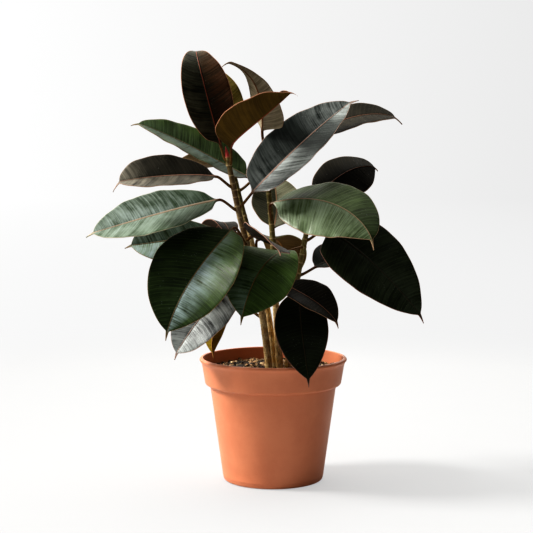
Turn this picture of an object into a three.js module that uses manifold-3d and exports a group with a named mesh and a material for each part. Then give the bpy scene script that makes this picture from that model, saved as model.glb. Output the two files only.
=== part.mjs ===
// A rubber plant (Ficus elastica) in a plastic nursery pot.
// Millimetres, +Z up. The origin is the middle of the pot's underside,
// and the plant's front is towards -Y.
import * as THREE from 'three';
import { mergeVertices } from 'three/addons/utils/BufferGeometryUtils.js';
import Module from 'manifold-3d';

// Pot: a 19 cm nursery pot with a deep collar, a rolled lip and drain holes in its floor.
const potHeight = 159;
const lipRadius = 95;
const baseRadius = 63.4;
const stepHeight = 124;
const bodyTopRadius = 81.5;
const collarFootRadius = 88;
const collarTopRadius = 92.4;
const wallThickness = 2.2;
const floorThickness = 2.4;
const draftAllowance = 1;
const drainHoleRadius = 4.5;
const drainHoleCircle = 42;
const drainHoleCount = 6;
const potSides = 48;

// Soil: it fills the pot to about 15 mm below the lip.
const soilHeight = 143;
const soilRelief = 2.2;
const soilRings = 5;
const soilClearance = 0.45;

// Stems stand in blind holes in the soil.
const touchGap = 0.3;
const socketGap = 0.35;
const socketShares = [0, 0.04, 0.08, 0.12];
const stemSides = 10;
const stemStep = 15;
const budLength = 16;
const nodeSwelling = 0.5;
const nodeSpacing = 5;

// Leaves.
const petioleRadius = 1.7;
const marginThickness = 0.8;
const midribThickness = 1.5;
const midribDepth = 1.1;
const dripTipLength = 0.05;
const dripTipWidth = 2.6;
const dripTipReach = 0.075;
const dripTipEnd = 0.4;
const dripHangLength = 0.07;
const rootLength = 0.09;
const foldTurn = 0.8;
const petioleStiffness = [0.35, 0.4];
const usualShape = { curl: 0, taper: [0.7, 0.8] };

// Each stem's axis, from the soil to its bud, and its radius at both ends.
const stems = [
  { name: 'stem_1', foot: 4.8, top: 3.1,
    axis: [[-3, -7, 118], [-10, -8, 187], [-16, -9, 226], [-31, -16, 296], [-43, -22, 344],
      [-57, -30, 414], [-60, -31, 430]] },
  { name: 'stem_2', foot: 4.4, top: 2.9,
    axis: [[6, 12, 118], [-3, 10, 191], [-8, 10, 222], [-27, 14, 303], [-41, 21, 354], [-60, 34, 432]] },
  { name: 'stem_3', foot: 4.8, top: 2.8,
    axis: [[11, -1, 118], [6, 1, 180], [-1, 8, 316], [-6, 12, 374], [-12, 18, 438]] },
  { name: 'stem_4', foot: 4.6, top: 3.0,
    axis: [[17, 12, 118], [23, 10, 193], [25, 9, 219], [32, 8, 264], [43, 8, 321], [50, 9, 367]] },
];

// Each leaf: the stem and height that it grows from, its midrib as a curve with
// two handles, where its upper side faces at the base and at the tip, its widest
// half width, how far its left and right halves are folded up, how much more they
// curl up towards the margin (degrees), and how its drip tip hangs. The taper, where
// it isn't the usual one, is how blunt the blade is towards its base and its tip, and
// a leaf whose fold changes towards the tip has the fold there as its tipFold.
const leaves = [
  // The four leaves at the very top.
  { name: 'leaf_01', stem: 0, height: 413,
    rib: [[-66, -32, 431], [-80, -44, 478], [-99, -36, 556], [-98, 8, 549]],
    face: [[0.1, -1, 0.1], [0, -0.3, 1]], width: 31.5, fold: [8, 8], curl: 6, drip: [0, 2, -4] },
  { name: 'leaf_02', stem: 1, height: 415,
    rib: [[-60, 29, 436], [-61, 20, 474], [-76, 26, 517], [-80, 44, 535]],
    face: [[0.2, -1, 0], [0.1, -0.8, 0.5]], width: 29, fold: [10, 10], curl: 4, drip: [0, 2, -4] },
  { name: 'leaf_03', stem: 0, height: 407,
    rib: [[-53, -38, 428], [-51, -88, 440], [-12, -104, 462], [25, -104, 499]],
    face: [[-0.3, 0.3, 0.9], [-0.2, 0.3, 0.9]], width: 35, fold: [38, 40], curl: 5,
    drip: [4, 0, -9], taper: [0.6, 0.7], tipFold: [110, -10] },
  { name: 'leaf_04', stem: 2, height: 421,
    rib: [[-14, 0, 449], [-12, -17, 482], [-17, -45, 526], [-61, -64, 533]],
    face: [[0.6, 0.8, 0], [0, 0.5, 0.85]], width: 28, fold: [18, 28],
    drip: [-2, 0, -6], taper: [0.3, 1.6] },
  // The upper tier: two to the left, two to the right and one hanging behind.
  { name: 'leaf_05', stem: 2, height: 376,
    rib: [[-30, 9, 389], [-75, 6, 412], [-132, 3, 448], [-179, -4, 460]],
    face: [[0.1, -0.55, 0.8], [0.1, -0.55, 0.8]], width: 32.5, fold: [20, 15],
    drip: [-2, 0, -4], taper: [0.45, 0.6] },
  { name: 'leaf_06', stem: 1, height: 392,
    rib: [[-56, 42, 402], [-73, 62, 412], [-103, 84, 411], [-136, 96, 384]],
    face: [[0.1, 0.2, 1], [-0.2, 0.5, 0.8]], width: 30, fold: [8, 8], curl: 4, drip: [0, 0, -4] },
  { name: 'leaf_07', stem: 0, height: 379,
    rib: [[-71, -36, 392], [-110, -54, 397], [-165, -70, 392], [-195, -74, 385]],
    face: [[0, -0.62, 0.8], [0, -0.62, 0.8]], width: 35, fold: [20, 13],
    drip: [-2, 0, -11], taper: [0.7, 0.55] },
  { name: 'leaf_08', stem: 0, height: 353,
    rib: [[-28, -28, 370], [5, -20, 405], [52, -2, 452], [105, 6, 490]],
    face: [[-0.3, -0.75, 0.55], [-0.3, -0.75, 0.55]], width: 41, fold: [15, 20],
    drip: [4, 0, -2], taper: [0.55, 0.7] },
  { name: 'leaf_09', stem: 1, height: 372,
    rib: [[-1, 24, 412], [58, 26, 459], [130, 34, 485], [166, 40, 463]],
    face: [[-0.3, -0.45, 0.85], [0.2, -0.45, 0.85]], width: 33, fold: [8, 8],
    drip: [2, 0, -5], taper: [0.7, 0.6] },
  // The middle tier on the left.
  { name: 'leaf_10', stem: 0, height: 350,
    rib: [[-68, -34, 363], [-116, -48, 355], [-177, -62, 337], [-230, -70, 321]],
    face: [[0, -0.6, 0.8], [-0.1, -0.6, 0.8]], width: 39, fold: [8, 8],
    drip: [-1, 0, -3], taper: [0.7, 0.65] },
  { name: 'leaf_11', stem: 1, height: 312,
    rib: [[-61, 4, 322], [-100, -10, 315], [-145, -20, 308], [-186, -26, 304]],
    face: [[0, -0.7, 0.7], [0, -0.7, 0.7]], width: 38, fold: [10, 10],
    drip: [-2, 0, -3], taper: [1.3, 0.75] },
  { name: 'leaf_12', stem: 1, height: 314,
    rib: [[-56, 26, 314], [-62, 46, 336], [-77, 64, 341], [-86, 74, 286]],
    face: [[0.1, 0.2, 1], [-0.4, 0.6, 0.6]], width: 22, fold: [6, 6], curl: 4, drip: [0, 0, -4] },
  { name: 'leaf_13', stem: 0, height: 307,
    rib: [[-50, -44, 328], [-81, -76, 296], [-117, -94, 256], [-132, -94, 197]],
    face: [[-0.4, -0.75, 0.6], [-0.1, -0.95, 0.2]], width: 57.5, fold: [12, 12], drip: [0, 0, -4] },
  { name: 'leaf_14', stem: 0, height: 249,
    rib: [[-50, -22, 256], [-79, -48, 236], [-107, -62, 197], [-123, -66, 169]],
    face: [[-0.4, -0.6, 0.6], [-0.4, -0.65, 0.55]], width: 40, fold: [0, 8],
    drip: [0, 0, -4], taper: [0.55, 0.65] },
  // The front, and the leaves close to the stems.
  { name: 'leaf_15', stem: 3, height: 300,
    rib: [[18, -14, 297], [-7, -60, 297], [-29, -88, 270], [-40, -100, 217]],
    face: [[-0.45, -0.4, 0.8], [0.3, -0.9, 0.2]], width: 47, fold: [2, 18],
    drip: [0, 0, -4], taper: [0.9, 0.8] },
  { name: 'leaf_16', stem: 0, height: 311,
    rib: [[-27, -32, 317], [-13, -68, 321], [2, -106, 315], [8, -138, 304]],
    face: [[0.55, 0.1, 0.8], [0.55, 0.0, 0.8]], width: 32, fold: [5, 5], drip: [0, 0, -3] },
  { name: 'leaf_17', stem: 1, height: 294,
    rib: [[-21, 17, 308], [-1, 50, 318], [26, 72, 308], [15, 76, 241]],
    face: [[0.3, 0.2, 0.9], [0.4, 0.8, 0.3]], width: 34, fold: [6, 6], curl: 4, drip: [0, 0, -4] },
  { name: 'leaf_18', stem: 2, height: 312,
    rib: [[0, 26, 323], [7, 60, 338], [6, 95, 366], [0, 118, 392]],
    face: [[0, -0.5, 0.9], [0, -0.6, 0.8]], width: 35, fold: [18, 18], drip: [0, 0, -3] },
  // The middle tier on the right.
  { name: 'leaf_19', stem: 2, height: 335,
    rib: [[-2, -10, 357], [56, -34, 376], [110, -76, 354], [122, -92, 310]],
    face: [[-0.1, -0.35, 0.95], [0.4, -0.85, 0.35]], width: 48, fold: [-2, -28],
    drip: [0, 0, -6], taper: [0.6, 0.7] },
  { name: 'leaf_20', stem: 3, height: 357,
    rib: [[57, 14, 366], [78, 26, 388], [111, 44, 412], [138, 58, 400]],
    face: [[0, -0.6, 0.8], [0, -0.6, 0.8]], width: 37, fold: [-5, -14],
    drip: [0, 0, -3], taper: [0.6, 0.5] },
  { name: 'leaf_21', stem: 3, height: 309,
    rib: [[68, 2, 323], [100, -22, 311], [150, -40, 264], [189, -44, 213]],
    face: [[0.2, -0.9, 0.4], [0.2, -0.9, 0.3]], width: 46, fold: [6, 6],
    drip: [0, 0, -5], taper: [0.45, 0.75] },
  // The lowest leaves.
  { name: 'leaf_22', stem: 3, height: 264,
    rib: [[53, 14, 273], [72, 34, 281], [99, 62, 291], [126, 84, 272]],
    face: [[-0.1, -0.65, 0.8], [0.2, -0.2, 1]], width: 34, fold: [12, 12],
    drip: [0, 0, -4], taper: [0.9, 0.7] },
  { name: 'leaf_23', stem: 2, height: 248,
    rib: [[12, -14, 255], [36, -46, 246], [66, -72, 234], [80, -78, 210]],
    face: [[0.2, -0.6, 0.7], [0.4, -0.7, 0.4]], width: 28, fold: [18, 18], drip: [0, 0, -4] },
  { name: 'leaf_24', stem: 3, height: 240,
    rib: [[35, -22, 247], [30, -56, 216], [39, -96, 180], [43, -104, 141]],
    face: [[0, -0.7, 0.7], [0, -1, 0.1]], width: 33.5, fold: [6, 6], drip: [0, 0, -4] },
  { name: 'leaf_25', stem: 0, height: 213,
    rib: [[-39, -2, 224], [-62, -4, 218], [-86, 0, 189], [-77, 6, 160]],
    face: [[0.2, 0.7, 0.6], [0.4, 0.8, 0.2]], width: 18, fold: [8, 60], drip: [0, 0, -4] },
];

// Leaf sections: where they lie along the blade, and their points across it.
const bladeStations = [0, 0.03, 0.09, 0.18, 0.3, 0.43, 0.56, 0.68, 0.78, 0.86, 0.92, 0.955, 0.98, 1];
const petioleStations = [0, 0.25, 0.5, 0.75];
const acrossLeaf = [-1, -0.5, 0, 0.5, 1];

const colours = {
  pot: [0xc4744f, 0.6],
  soil: [0x2e241c, 0.95],
  stem: [0x8a6a3a, 0.75],
  leaf: [0x1f2b1e, 0.3],
};

const wasm = await Module();
wasm.setup();

const { degToRad, lerp, mapLinear, smoothstep } = THREE.MathUtils;
const vector = (values) => new THREE.Vector3(...values);

function material(kind) {
  const [color, roughness] = colours[kind];
  return new THREE.MeshStandardMaterial({ color, roughness, metalness: 0 });
}

// A closed skin over a row of rings that all have the same number of points.
function skinOverRings(rings) {
  const count = rings[0].length;
  const middle = (ring) => ring.reduce((sum, p) => sum.add(p), new THREE.Vector3()).divideScalar(count);
  const points = [...rings.flat(), middle(rings[0]), middle(rings.at(-1))];
  const firstCap = points.length - 2;
  const lastCap = points.length - 1;
  const lastRing = (rings.length - 1) * count;
  const faces = [];
  for (let i = 0; i < count; i += 1) {
    const next = (i + 1) % count;
    faces.push(firstCap, next, i);
    faces.push(lastCap, lastRing + i, lastRing + next);
    for (let ring = 0; ring < rings.length - 1; ring += 1) {
      const a = ring * count + i;
      const b = ring * count + next;
      const c = b + count;
      const d = a + count;
      // The upper and lower faces of a leaf are split along the same diagonals.
      if (i < count / 2) {
        faces.push(a, b, c, a, c, d);
      } else {
        faces.push(a, b, d, b, c, d);
      }
    }
  }
  const geometry = new THREE.BufferGeometry();
  geometry.setFromPoints(points);
  geometry.setIndex(faces);
  return geometry;
}

function toSolid(geometry) {
  const bare = geometry.clone();
  bare.deleteAttribute('normal');
  bare.deleteAttribute('uv');
  const merged = mergeVertices(bare, 1e-4);
  const vertProperties = new Float32Array(merged.attributes.position.array);
  const triVerts = new Uint32Array(merged.index.array);
  return new wasm.Manifold(new wasm.Mesh({ numProp: 3, vertProperties, triVerts }));
}

function fromSolid(solid) {
  const mesh = solid.getMesh();
  const geometry = new THREE.BufferGeometry();
  geometry.setAttribute('position', new THREE.Float32BufferAttribute(mesh.vertProperties, 3));
  geometry.setIndex([...mesh.triVerts]);
  return geometry;
}

// An upright cylinder right through the floor.
function drainHole(x, y) {
  const geometry = new THREE.CylinderGeometry(drainHoleRadius, drainHoleRadius, 4 * floorThickness, 12);
  geometry.rotateX(Math.PI / 2);
  geometry.translate(x, y, floorThickness / 2);
  return toSolid(geometry);
}

// The pot's inner radius at a height above its floor.
function innerRadius(z) {
  const body = mapLinear(z, 0, stepHeight, baseRadius + draftAllowance, bodyTopRadius);
  const collar = mapLinear(z, stepHeight, potHeight, collarFootRadius, collarTopRadius);
  return (z < stepHeight ? body : collar) - wallThickness;
}

function potGeometry() {
  const outside = [
    [0, 0], [baseRadius - 2.5, 0], [baseRadius, 0.8], [baseRadius + 1.4, 3.5],
    [bodyTopRadius, stepHeight - 1], [collarFootRadius - 2, stepHeight],
    [collarFootRadius, stepHeight + 3], [collarTopRadius, potHeight - 5],
  ];
  const lip = [
    [lipRadius - 0.4, potHeight - 3.8], [lipRadius, potHeight - 2], [lipRadius - 0.8, potHeight - 0.4],
    [lipRadius - 2, potHeight], [innerRadius(potHeight), potHeight - 0.8],
    [innerRadius(potHeight) - 0.4, potHeight - 3],
  ];
  const inside = [
    [innerRadius(stepHeight + 3), stepHeight + 4], [innerRadius(stepHeight - 2) + 1.5, stepHeight + 1],
    [innerRadius(stepHeight - 2), stepHeight - 2], [innerRadius(floorThickness + 2), floorThickness + 2],
    [innerRadius(floorThickness) - 2, floorThickness], [0, floorThickness],
  ];
  const profile = [...outside, ...lip, ...inside].map(([radius, z]) => new THREE.Vector2(radius, z));
  const lathe = new THREE.LatheGeometry(profile, potSides);
  lathe.rotateX(Math.PI / 2);
  let solid = toSolid(lathe);
  for (let i = 0; i < drainHoleCount; i += 1) {
    const angle = (i + 0.5) * 2 * Math.PI / drainHoleCount;
    const x = drainHoleCircle * Math.cos(angle);
    const y = drainHoleCircle * Math.sin(angle);
    solid = solid.subtract(drainHole(x, y));
  }
  return fromSolid(solid);
}

// Loose, lumpy potting mix: a few waves across each other.
function soilLevel(x, y) {
  const lumps = Math.sin(x * 0.21 + 1) * Math.cos(y * 0.17) + Math.sin(x * 0.11 - y * 0.24);
  return soilHeight + soilRelief * 0.5 * lumps;
}

function soilGeometry() {
  const bottom = floorThickness + touchGap;
  const rimOf = (z) => innerRadius(z) - soilClearance;
  const levels = [
    [rimOf(bottom) - 3, bottom], [rimOf(bottom + 3), bottom + 3], [rimOf(stepHeight - 2), stepHeight - 2],
    [rimOf(stepHeight - 2) + 1.3, stepHeight + 1.6], [rimOf(stepHeight + 5), stepHeight + 5],
  ];
  const ringAt = (radius, height) => Array.from({ length: potSides }, (_, i) => {
    const angle = i * 2 * Math.PI / potSides;
    const x = radius * Math.sin(angle);
    const y = -radius * Math.cos(angle);
    return new THREE.Vector3(x, y, height ?? soilLevel(x, y));
  });
  const rings = levels.map(([radius, height]) => ringAt(radius, height));
  for (let i = 0; i < soilRings; i += 1) {
    rings.push(ringAt(rimOf(soilHeight) * (1 - i / soilRings)));
  }
  let solid = toSolid(skinOverRings(rings));
  for (const stem of stems) {
    solid = solid.subtract(toSolid(socketGeometry(stem)));
  }
  return fromSolid(solid);
}

function stemAxis(stem) {
  return new THREE.CatmullRomCurve3(stem.axis.map(vector), false, 'centripetal');
}

function stemRadius(stem, share) {
  return lerp(stem.foot, stem.top, share);
}

// One ring of points around a curve, set back by a shift along it.
function ringAround(curve, share, radius, shift) {
  const along = curve.getTangentAt(share);
  const centre = curve.getPointAt(share).addScaledVector(along, shift);
  const side = new THREE.Vector3(0, 1, 0).cross(along).normalize();
  const front = along.clone().cross(side);
  return Array.from({ length: stemSides }, (_, i) => {
    const angle = i * 2 * Math.PI / stemSides;
    return centre.clone()
      .addScaledVector(side, radius * Math.cos(angle))
      .addScaledVector(front, radius * Math.sin(angle));
  });
}

// The hole in the soil that a stem stands in.
function socketGeometry(stem) {
  const curve = stemAxis(stem);
  return skinOverRings(socketShares.map((share) => (
    ringAround(curve, share, stemRadius(stem, share) + socketGap, share === 0 ? -touchGap : 0))));
}

// The share of the way along a stem's axis at which it reaches a height.
function shareAtHeight(curve, height) {
  let low = 0;
  let high = 1;
  for (let i = 0; i < 24; i += 1) {
    const middle = (low + high) / 2;
    if (curve.getPointAt(middle).z < height) {
      low = middle;
    } else {
      high = middle;
    }
  }
  return low;
}

// A tapered stem, a little swollen where leaves grow, that ends in a pointed bud.
function stemGeometry(stem, heights) {
  const curve = stemAxis(stem);
  const length = curve.getLength();
  const steps = Math.round(length / stemStep);
  const budStart = 1 - budLength / length;
  const nodes = heights.map((height) => shareAtHeight(curve, height));
  const between = Array.from({ length: steps }, (_, i) => budStart * i / (steps - 1))
    .filter((share) => nodes.every((node) => Math.abs(node - share) * length > nodeSpacing));
  const rings = [...between, ...nodes].sort((a, b) => a - b).map((share) => {
    const swelling = nodes.includes(share) ? nodeSwelling : 0;
    return ringAround(curve, share, stemRadius(stem, share) + swelling, 0);
  });
  rings.push(ringAround(curve, lerp(budStart, 1, 0.45), stem.top * 0.7, 0));
  rings.push(ringAround(curve, 1, 0.5, 0));
  return skinOverRings(rings);
}

// Half the width of a blade, as a share of its widest: a broad ellipse with its
// widest part a little nearer the base, ending where the narrow drip tip begins.
function bladeOutline(share, [towardsBase, towardsTip]) {
  const body = Math.min(share / (1 - dripTipLength), 1);
  const widest = towardsBase / (towardsBase + towardsTip);
  const outline = (place) => (place ** towardsBase) * ((1 - place) ** towardsTip);
  return outline(body) / outline(widest);
}

function leafFrame(leaf, tangent, share) {
  const facing = vector(leaf.face[0]).lerp(vector(leaf.face[1]), share);
  const right = tangent.clone().cross(facing).normalize();
  const up = right.clone().cross(tangent).normalize();
  return { right, up };
}

// The path of the petiole: straight out of the stem, then over to the blade.
function petioleCurve(leaf, blade) {
  const stem = stems[leaf.stem];
  const axis = stemAxis(stem);
  const share = shareAtHeight(axis, leaf.height);
  const centre = axis.getPointAt(share);
  const along = axis.getTangentAt(share);
  const base = vector(leaf.rib[0]);
  const outward = base.clone().sub(centre);
  outward.addScaledVector(along, -outward.dot(along)).normalize();
  const foot = centre.clone().addScaledVector(outward, stemRadius(stem, share) + nodeSwelling + touchGap);
  const reach = foot.distanceTo(base);
  return new THREE.CubicBezierCurve3(
    foot,
    foot.clone().addScaledVector(outward, reach * petioleStiffness[0]),
    base.clone().addScaledVector(blade.getTangent(0), -reach * petioleStiffness[1]),
    base,
  );
}

// One ring of a leaf's skin: five points over the upper side, five back under it.
function leafRing(leaf, centre, tangent, share, roundness) {
  const { right, up } = leafFrame(leaf, tangent, share);
  const dripTip = dripTipWidth * Math.min((1 - share) / dripTipReach, 1) + dripTipEnd;
  const leastWidth = share > 0.5 ? dripTip : petioleRadius;
  const halfWidth = Math.hypot(leaf.width * bladeOutline(share, leaf.taper), leastWidth);
  const place = (across, side) => {
    const half = across < 0 ? 0 : 1;
    const fold = lerp(leaf.fold[half], (leaf.tipFold ?? leaf.fold)[half], smoothstep(share, foldTurn, 1));
    const lift = degToRad(fold + leaf.curl * Math.abs(across));
    const thickness = lerp(midribThickness, marginThickness, Math.abs(across)) / 2;
    const rib = side < 0 && across === 0 ? midribDepth * (1 - share) : 0;
    return [
      halfWidth * across * Math.cos(lift),
      halfWidth * Math.abs(across) * Math.sin(lift) + side * (thickness + rib),
    ];
  };
  const bladePoints = [
    ...acrossLeaf.map((across) => place(across, 1)),
    ...acrossLeaf.toReversed().map((across) => place(across, -1)),
  ];
  return bladePoints.map(([x, z], i) => {
    const angle = degToRad(162 - i * 36);
    const roundX = petioleRadius * Math.cos(angle);
    const roundZ = petioleRadius * Math.sin(angle);
    return centre.clone()
      .addScaledVector(right, lerp(x, roundX, roundness))
      .addScaledVector(up, lerp(z, roundZ, roundness));
  });
}

function leafGeometry(leaf) {
  const blade = new THREE.CubicBezierCurve3(...leaf.rib.map(vector));
  const petiole = petioleCurve(leaf, blade);
  const petioleRings = petioleStations.map((share) => (
    leafRing(leaf, petiole.getPoint(share), petiole.getTangent(share), 0, 1)));
  const bladeRings = bladeStations.map((share) => {
    const hang = Math.max(0, share - 1 + dripHangLength) / dripHangLength;
    const centre = blade.getPointAt(share).addScaledVector(vector(leaf.drip), hang ** 2);
    const roundness = 1 - smoothstep(share, 0, rootLength);
    return leafRing(leaf, centre, blade.getTangentAt(share), share, roundness);
  });
  return skinOverRings([...petioleRings, ...bladeRings]);
}

function addPart(group, name, geometry, kind) {
  const mesh = new THREE.Mesh(geometry, material(kind));
  mesh.name = name;
  group.add(mesh);
}

const plant = new THREE.Group();
addPart(plant, 'pot', potGeometry(), 'pot');
addPart(plant, 'soil', soilGeometry(), 'soil');
stems.forEach((stem, index) => {
  const heights = leaves.filter((leaf) => leaf.stem === index).map((leaf) => leaf.height);
  addPart(plant, stem.name, stemGeometry(stem, heights), 'stem');
});
for (const leaf of leaves) {
  addPart(plant, leaf.name, leafGeometry({ ...usualShape, ...leaf }), 'leaf');
}

export default plant;
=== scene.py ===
import math
import bpy
import numpy as np
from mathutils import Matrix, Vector


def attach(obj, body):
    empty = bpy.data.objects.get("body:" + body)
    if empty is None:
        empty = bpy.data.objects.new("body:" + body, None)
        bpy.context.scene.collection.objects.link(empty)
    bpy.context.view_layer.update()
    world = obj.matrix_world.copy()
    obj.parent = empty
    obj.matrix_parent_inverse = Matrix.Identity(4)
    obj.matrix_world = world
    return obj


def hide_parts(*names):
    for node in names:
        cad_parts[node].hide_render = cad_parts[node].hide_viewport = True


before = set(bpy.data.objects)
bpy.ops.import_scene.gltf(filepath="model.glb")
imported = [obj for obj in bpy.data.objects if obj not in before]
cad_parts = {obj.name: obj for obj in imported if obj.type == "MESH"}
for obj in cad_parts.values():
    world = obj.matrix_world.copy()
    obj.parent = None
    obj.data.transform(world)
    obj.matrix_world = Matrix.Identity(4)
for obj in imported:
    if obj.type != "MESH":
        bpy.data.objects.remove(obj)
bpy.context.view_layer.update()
mm = 0.001
print("frame loaded with", len(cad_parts), "nodes")


def lerp(a, b, share):
    return a + (b - a) * share


def smooth(low, high, value):
    t = np.clip((value - low) / (high - low), 0, 1)
    return t * t * (3 - 2 * t)


def hump(distance, spread):
    return np.exp(-(distance / spread) ** 2)


def unit(v):
    return v / np.linalg.norm(v)


def feed(tree, target, source):
    # a socket is given another socket, or a plain value
    if isinstance(source, bpy.types.NodeSocket):
        tree.links.new(source, target)
    else:
        target.default_value = source


def feedAll(tree, node, sources):
    for name, source in sources.items():
        feed(tree, node.inputs[name], source)


def addNode(tree, kind, inputs=None, **settings):
    # inputs maps a socket's name or number to another socket or a plain value
    node = tree.nodes.new(kind)
    for name, value in settings.items():
        setattr(node, name, value)
    feedAll(tree, node, inputs or {})
    return node


def mathNode(tree, operation, *values, clamp=False):
    inputs = dict(enumerate(values))
    return addNode(tree, "ShaderNodeMath", inputs, operation=operation, use_clamp=clamp).outputs[0]


def times(tree, *values, clamp=False):
    return mathNode(tree, "MULTIPLY", *values, clamp=clamp)


def plus(tree, *values, clamp=False):
    return mathNode(tree, "ADD", *values, clamp=clamp)


def rangeNode(tree, value, low, high, toLow=0.0, toHigh=1.0, smoothly=True):
    inputs = {"Value": value, "From Min": low, "From Max": high, "To Min": toLow, "To Max": toHigh}
    kind = "SMOOTHSTEP" if smoothly else "LINEAR"
    return addNode(tree, "ShaderNodeMapRange", inputs, interpolation_type=kind).outputs[0]


def noiseNode(tree, vector, scale, detail=2.0, roughness=0.5):
    inputs = {"Vector": vector, "Scale": scale, "Detail": detail, "Roughness": roughness}
    return addNode(tree, "ShaderNodeTexNoise", inputs).outputs["Fac"]


def colour(source):
    # three numbers get a full alpha; a socket stays as it is
    return source if isinstance(source, bpy.types.NodeSocket) else (*source, 1.0)


def mixColour(tree, share, first, second, blend="MIX"):
    inputs = {0: share, 6: colour(first), 7: colour(second)}
    return addNode(tree, "ShaderNodeMix", inputs, data_type="RGBA", blend_type=blend).outputs[2]


def xyz(tree, *parts):
    return addNode(tree, "ShaderNodeCombineXYZ", dict(enumerate(parts))).outputs[0]


def vectorNode(tree, operation, inputs, output="Vector"):
    return addNode(tree, "ShaderNodeVectorMath", inputs, operation=operation).outputs[output]


def axisOf(tree, vector, axis):
    return addNode(tree, "ShaderNodeSeparateXYZ", {0: vector}).outputs[axis]


def objectPlace(tree):
    return addNode(tree, "ShaderNodeTexCoord").outputs["Object"]


def attribute(tree, name):
    return addNode(tree, "ShaderNodeAttribute", attribute_name=name).outputs["Fac"]


def bump(tree, height, strength, distance):
    inputs = {"Height": height, "Strength": strength, "Distance": distance}
    return addNode(tree, "ShaderNodeBump", inputs).outputs["Normal"]


def newMaterial(name):
    material = bpy.data.materials.new(name)
    material.use_nodes = True
    return material, material.node_tree, material.node_tree.nodes["Principled BSDF"]


def newGroup(name, inputs, outputs):
    # a shader node group whose inputs, with their usual values, and outputs are all numbers
    group = bpy.data.node_groups.new(name, "ShaderNodeTree")
    for socketName, value in inputs.items():
        socket = group.interface.new_socket(socketName, in_out="INPUT", socket_type="NodeSocketFloat")
        socket.default_value = value
    for socketName in outputs:
        group.interface.new_socket(socketName, in_out="OUTPUT", socket_type="NodeSocketFloat")
    return group, addNode(group, "NodeGroupInput").outputs, addNode(group, "NodeGroupOutput")


def useGroup(tree, group, values):
    return addNode(tree, "ShaderNodeGroup", values, node_tree=group).outputs


def newTree(name, inputs):
    # a Geometry Nodes tree with named inputs, and the sockets that they come in by
    tree = bpy.data.node_groups.new(name, "GeometryNodeTree")
    for socketName, kind in inputs.items():
        tree.interface.new_socket(socketName, in_out="INPUT", socket_type="NodeSocket" + kind)
    tree.interface.new_socket("Geometry", in_out="OUTPUT", socket_type="NodeSocketGeometry")
    return tree, addNode(tree, "NodeGroupInput").outputs


def endTree(tree, geometry, material):
    real = addNode(tree, "GeometryNodeRealizeInstances", {0: geometry})
    painted = addNode(tree, "GeometryNodeSetMaterial", {"Geometry": real.outputs[0], "Material": material})
    addNode(tree, "NodeGroupOutput", {0: painted.outputs[0]})


def addObject(name, data):
    made = bpy.data.objects.new(name, data)
    bpy.context.scene.collection.objects.link(made)
    return made


def bakeNodes(source, group, name, values):
    # runs a Geometry Nodes tree on an object and keeps the result as a plain mesh
    modifier = source.modifiers.new("nodes", "NODES")
    modifier.node_group = group
    for item in group.interface.items_tree:
        if item.item_type == "SOCKET" and item.in_out == "INPUT" and item.name in values:
            modifier[item.identifier] = values[item.name]
    depsgraph = bpy.context.evaluated_depsgraph_get()
    mesh = bpy.data.meshes.new_from_object(source.evaluated_get(depsgraph))
    mesh.name = name
    piece = addObject(name, mesh)
    source.modifiers.remove(modifier)
    bpy.data.objects.remove(source)
    return piece


def meshObject(name, points, faces):
    mesh = bpy.data.meshes.new(name)
    mesh.from_pydata([tuple(p) for p in points], [], faces)
    mesh.polygons.foreach_set("use_smooth", [True] * len(mesh.polygons))
    mesh.update()
    return addObject(name, mesh)


def ringFaces(rows, sides):
    # quads between rings of points that follow one another
    faces = []
    for start in range(0, (rows - 1) * sides, sides):
        for i in range(sides):
            j = (i + 1) % sides
            faces.append((start + i, start + j, start + sides + j, start + sides + i))
    return faces


def closedRings(rows, sides):
    # a fan closes each end; the middles of the two fans are the last two points
    first, last, end = rows * sides, rows * sides + 1, (rows - 1) * sides
    faces = ringFaces(rows, sides)
    faces += [(first, (i + 1) % sides, i) for i in range(sides)]
    faces += [(last, end + i, end + (i + 1) % sides) for i in range(sides)]
    return faces


def pointValues(piece, name, values):
    layer = piece.data.attributes.new(name, "FLOAT", "POINT")
    layer.data.foreach_set("value", np.asarray(values, dtype=np.float32))


def finishPiece(piece, material, slot, *nodes):
    if material is not None:
        piece.data.materials.clear()
        piece.data.materials.append(material)
    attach(piece, "root")
    if nodes:
        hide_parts(*nodes)


photoCamera = {"place": (-8.6, -1800, 436), "lookDown": 5.08, "lens": 95.0, "sensor": 36.0, "clipEnd": 50}


def makeCamera():
    data = bpy.data.cameras.new("photoCamera")
    data.lens = photoCamera["lens"]
    data.sensor_width = photoCamera["sensor"]
    data.clip_end = photoCamera["clipEnd"]
    camera = addObject("photoCamera", data)
    camera.location = Vector(photoCamera["place"]) * mm
    camera.rotation_euler = (math.radians(90 - photoCamera["lookDown"]), 0, 0)
    bpy.context.scene.camera = camera


studio = {
    "keyPlace": (-2.8, 0.03, 2.65), "keySize": (0.85, 0.85), "keyPower": 186, "keyTint": (1.0, 0.975, 0.94),
    "aim": (0, 0, 0.25), "roomTone": 0.02, "roomTint": (1.0, 0.975, 0.93),
    # the wall behind is a little brighter on the left, where the light comes from
    "wallTone": (0.700, 0.600), "wallSpan": (-0.18, 0.18), "wallWidth": (-1.95, 1.95),
    # the camera sees the floor in one tone, evened from left to right; other rays meet a lighter one
    "floorSeen": (0.395, 0.405), "floorTint": (1.0, 1.02, 1.045), "floorEven": (-0.5, 0.12, 0.84, 1.09),
    "floorLit": (0.53, 0.55), "floorHaze": 0.58, "floorFade": (0.35, 1.5),
    "floorHalf": 9, "floorBelow": -0.0004,
    # bright parts of the room: direction, where each starts and is full (as a cosine), strength
    "roomLights": [((-0.15, 0.60, 0.78), 0.40, 0.88, 1.8), ((-0.80, -0.55, 0.30), 0.30, 0.90, 0.6)],
}


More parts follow.
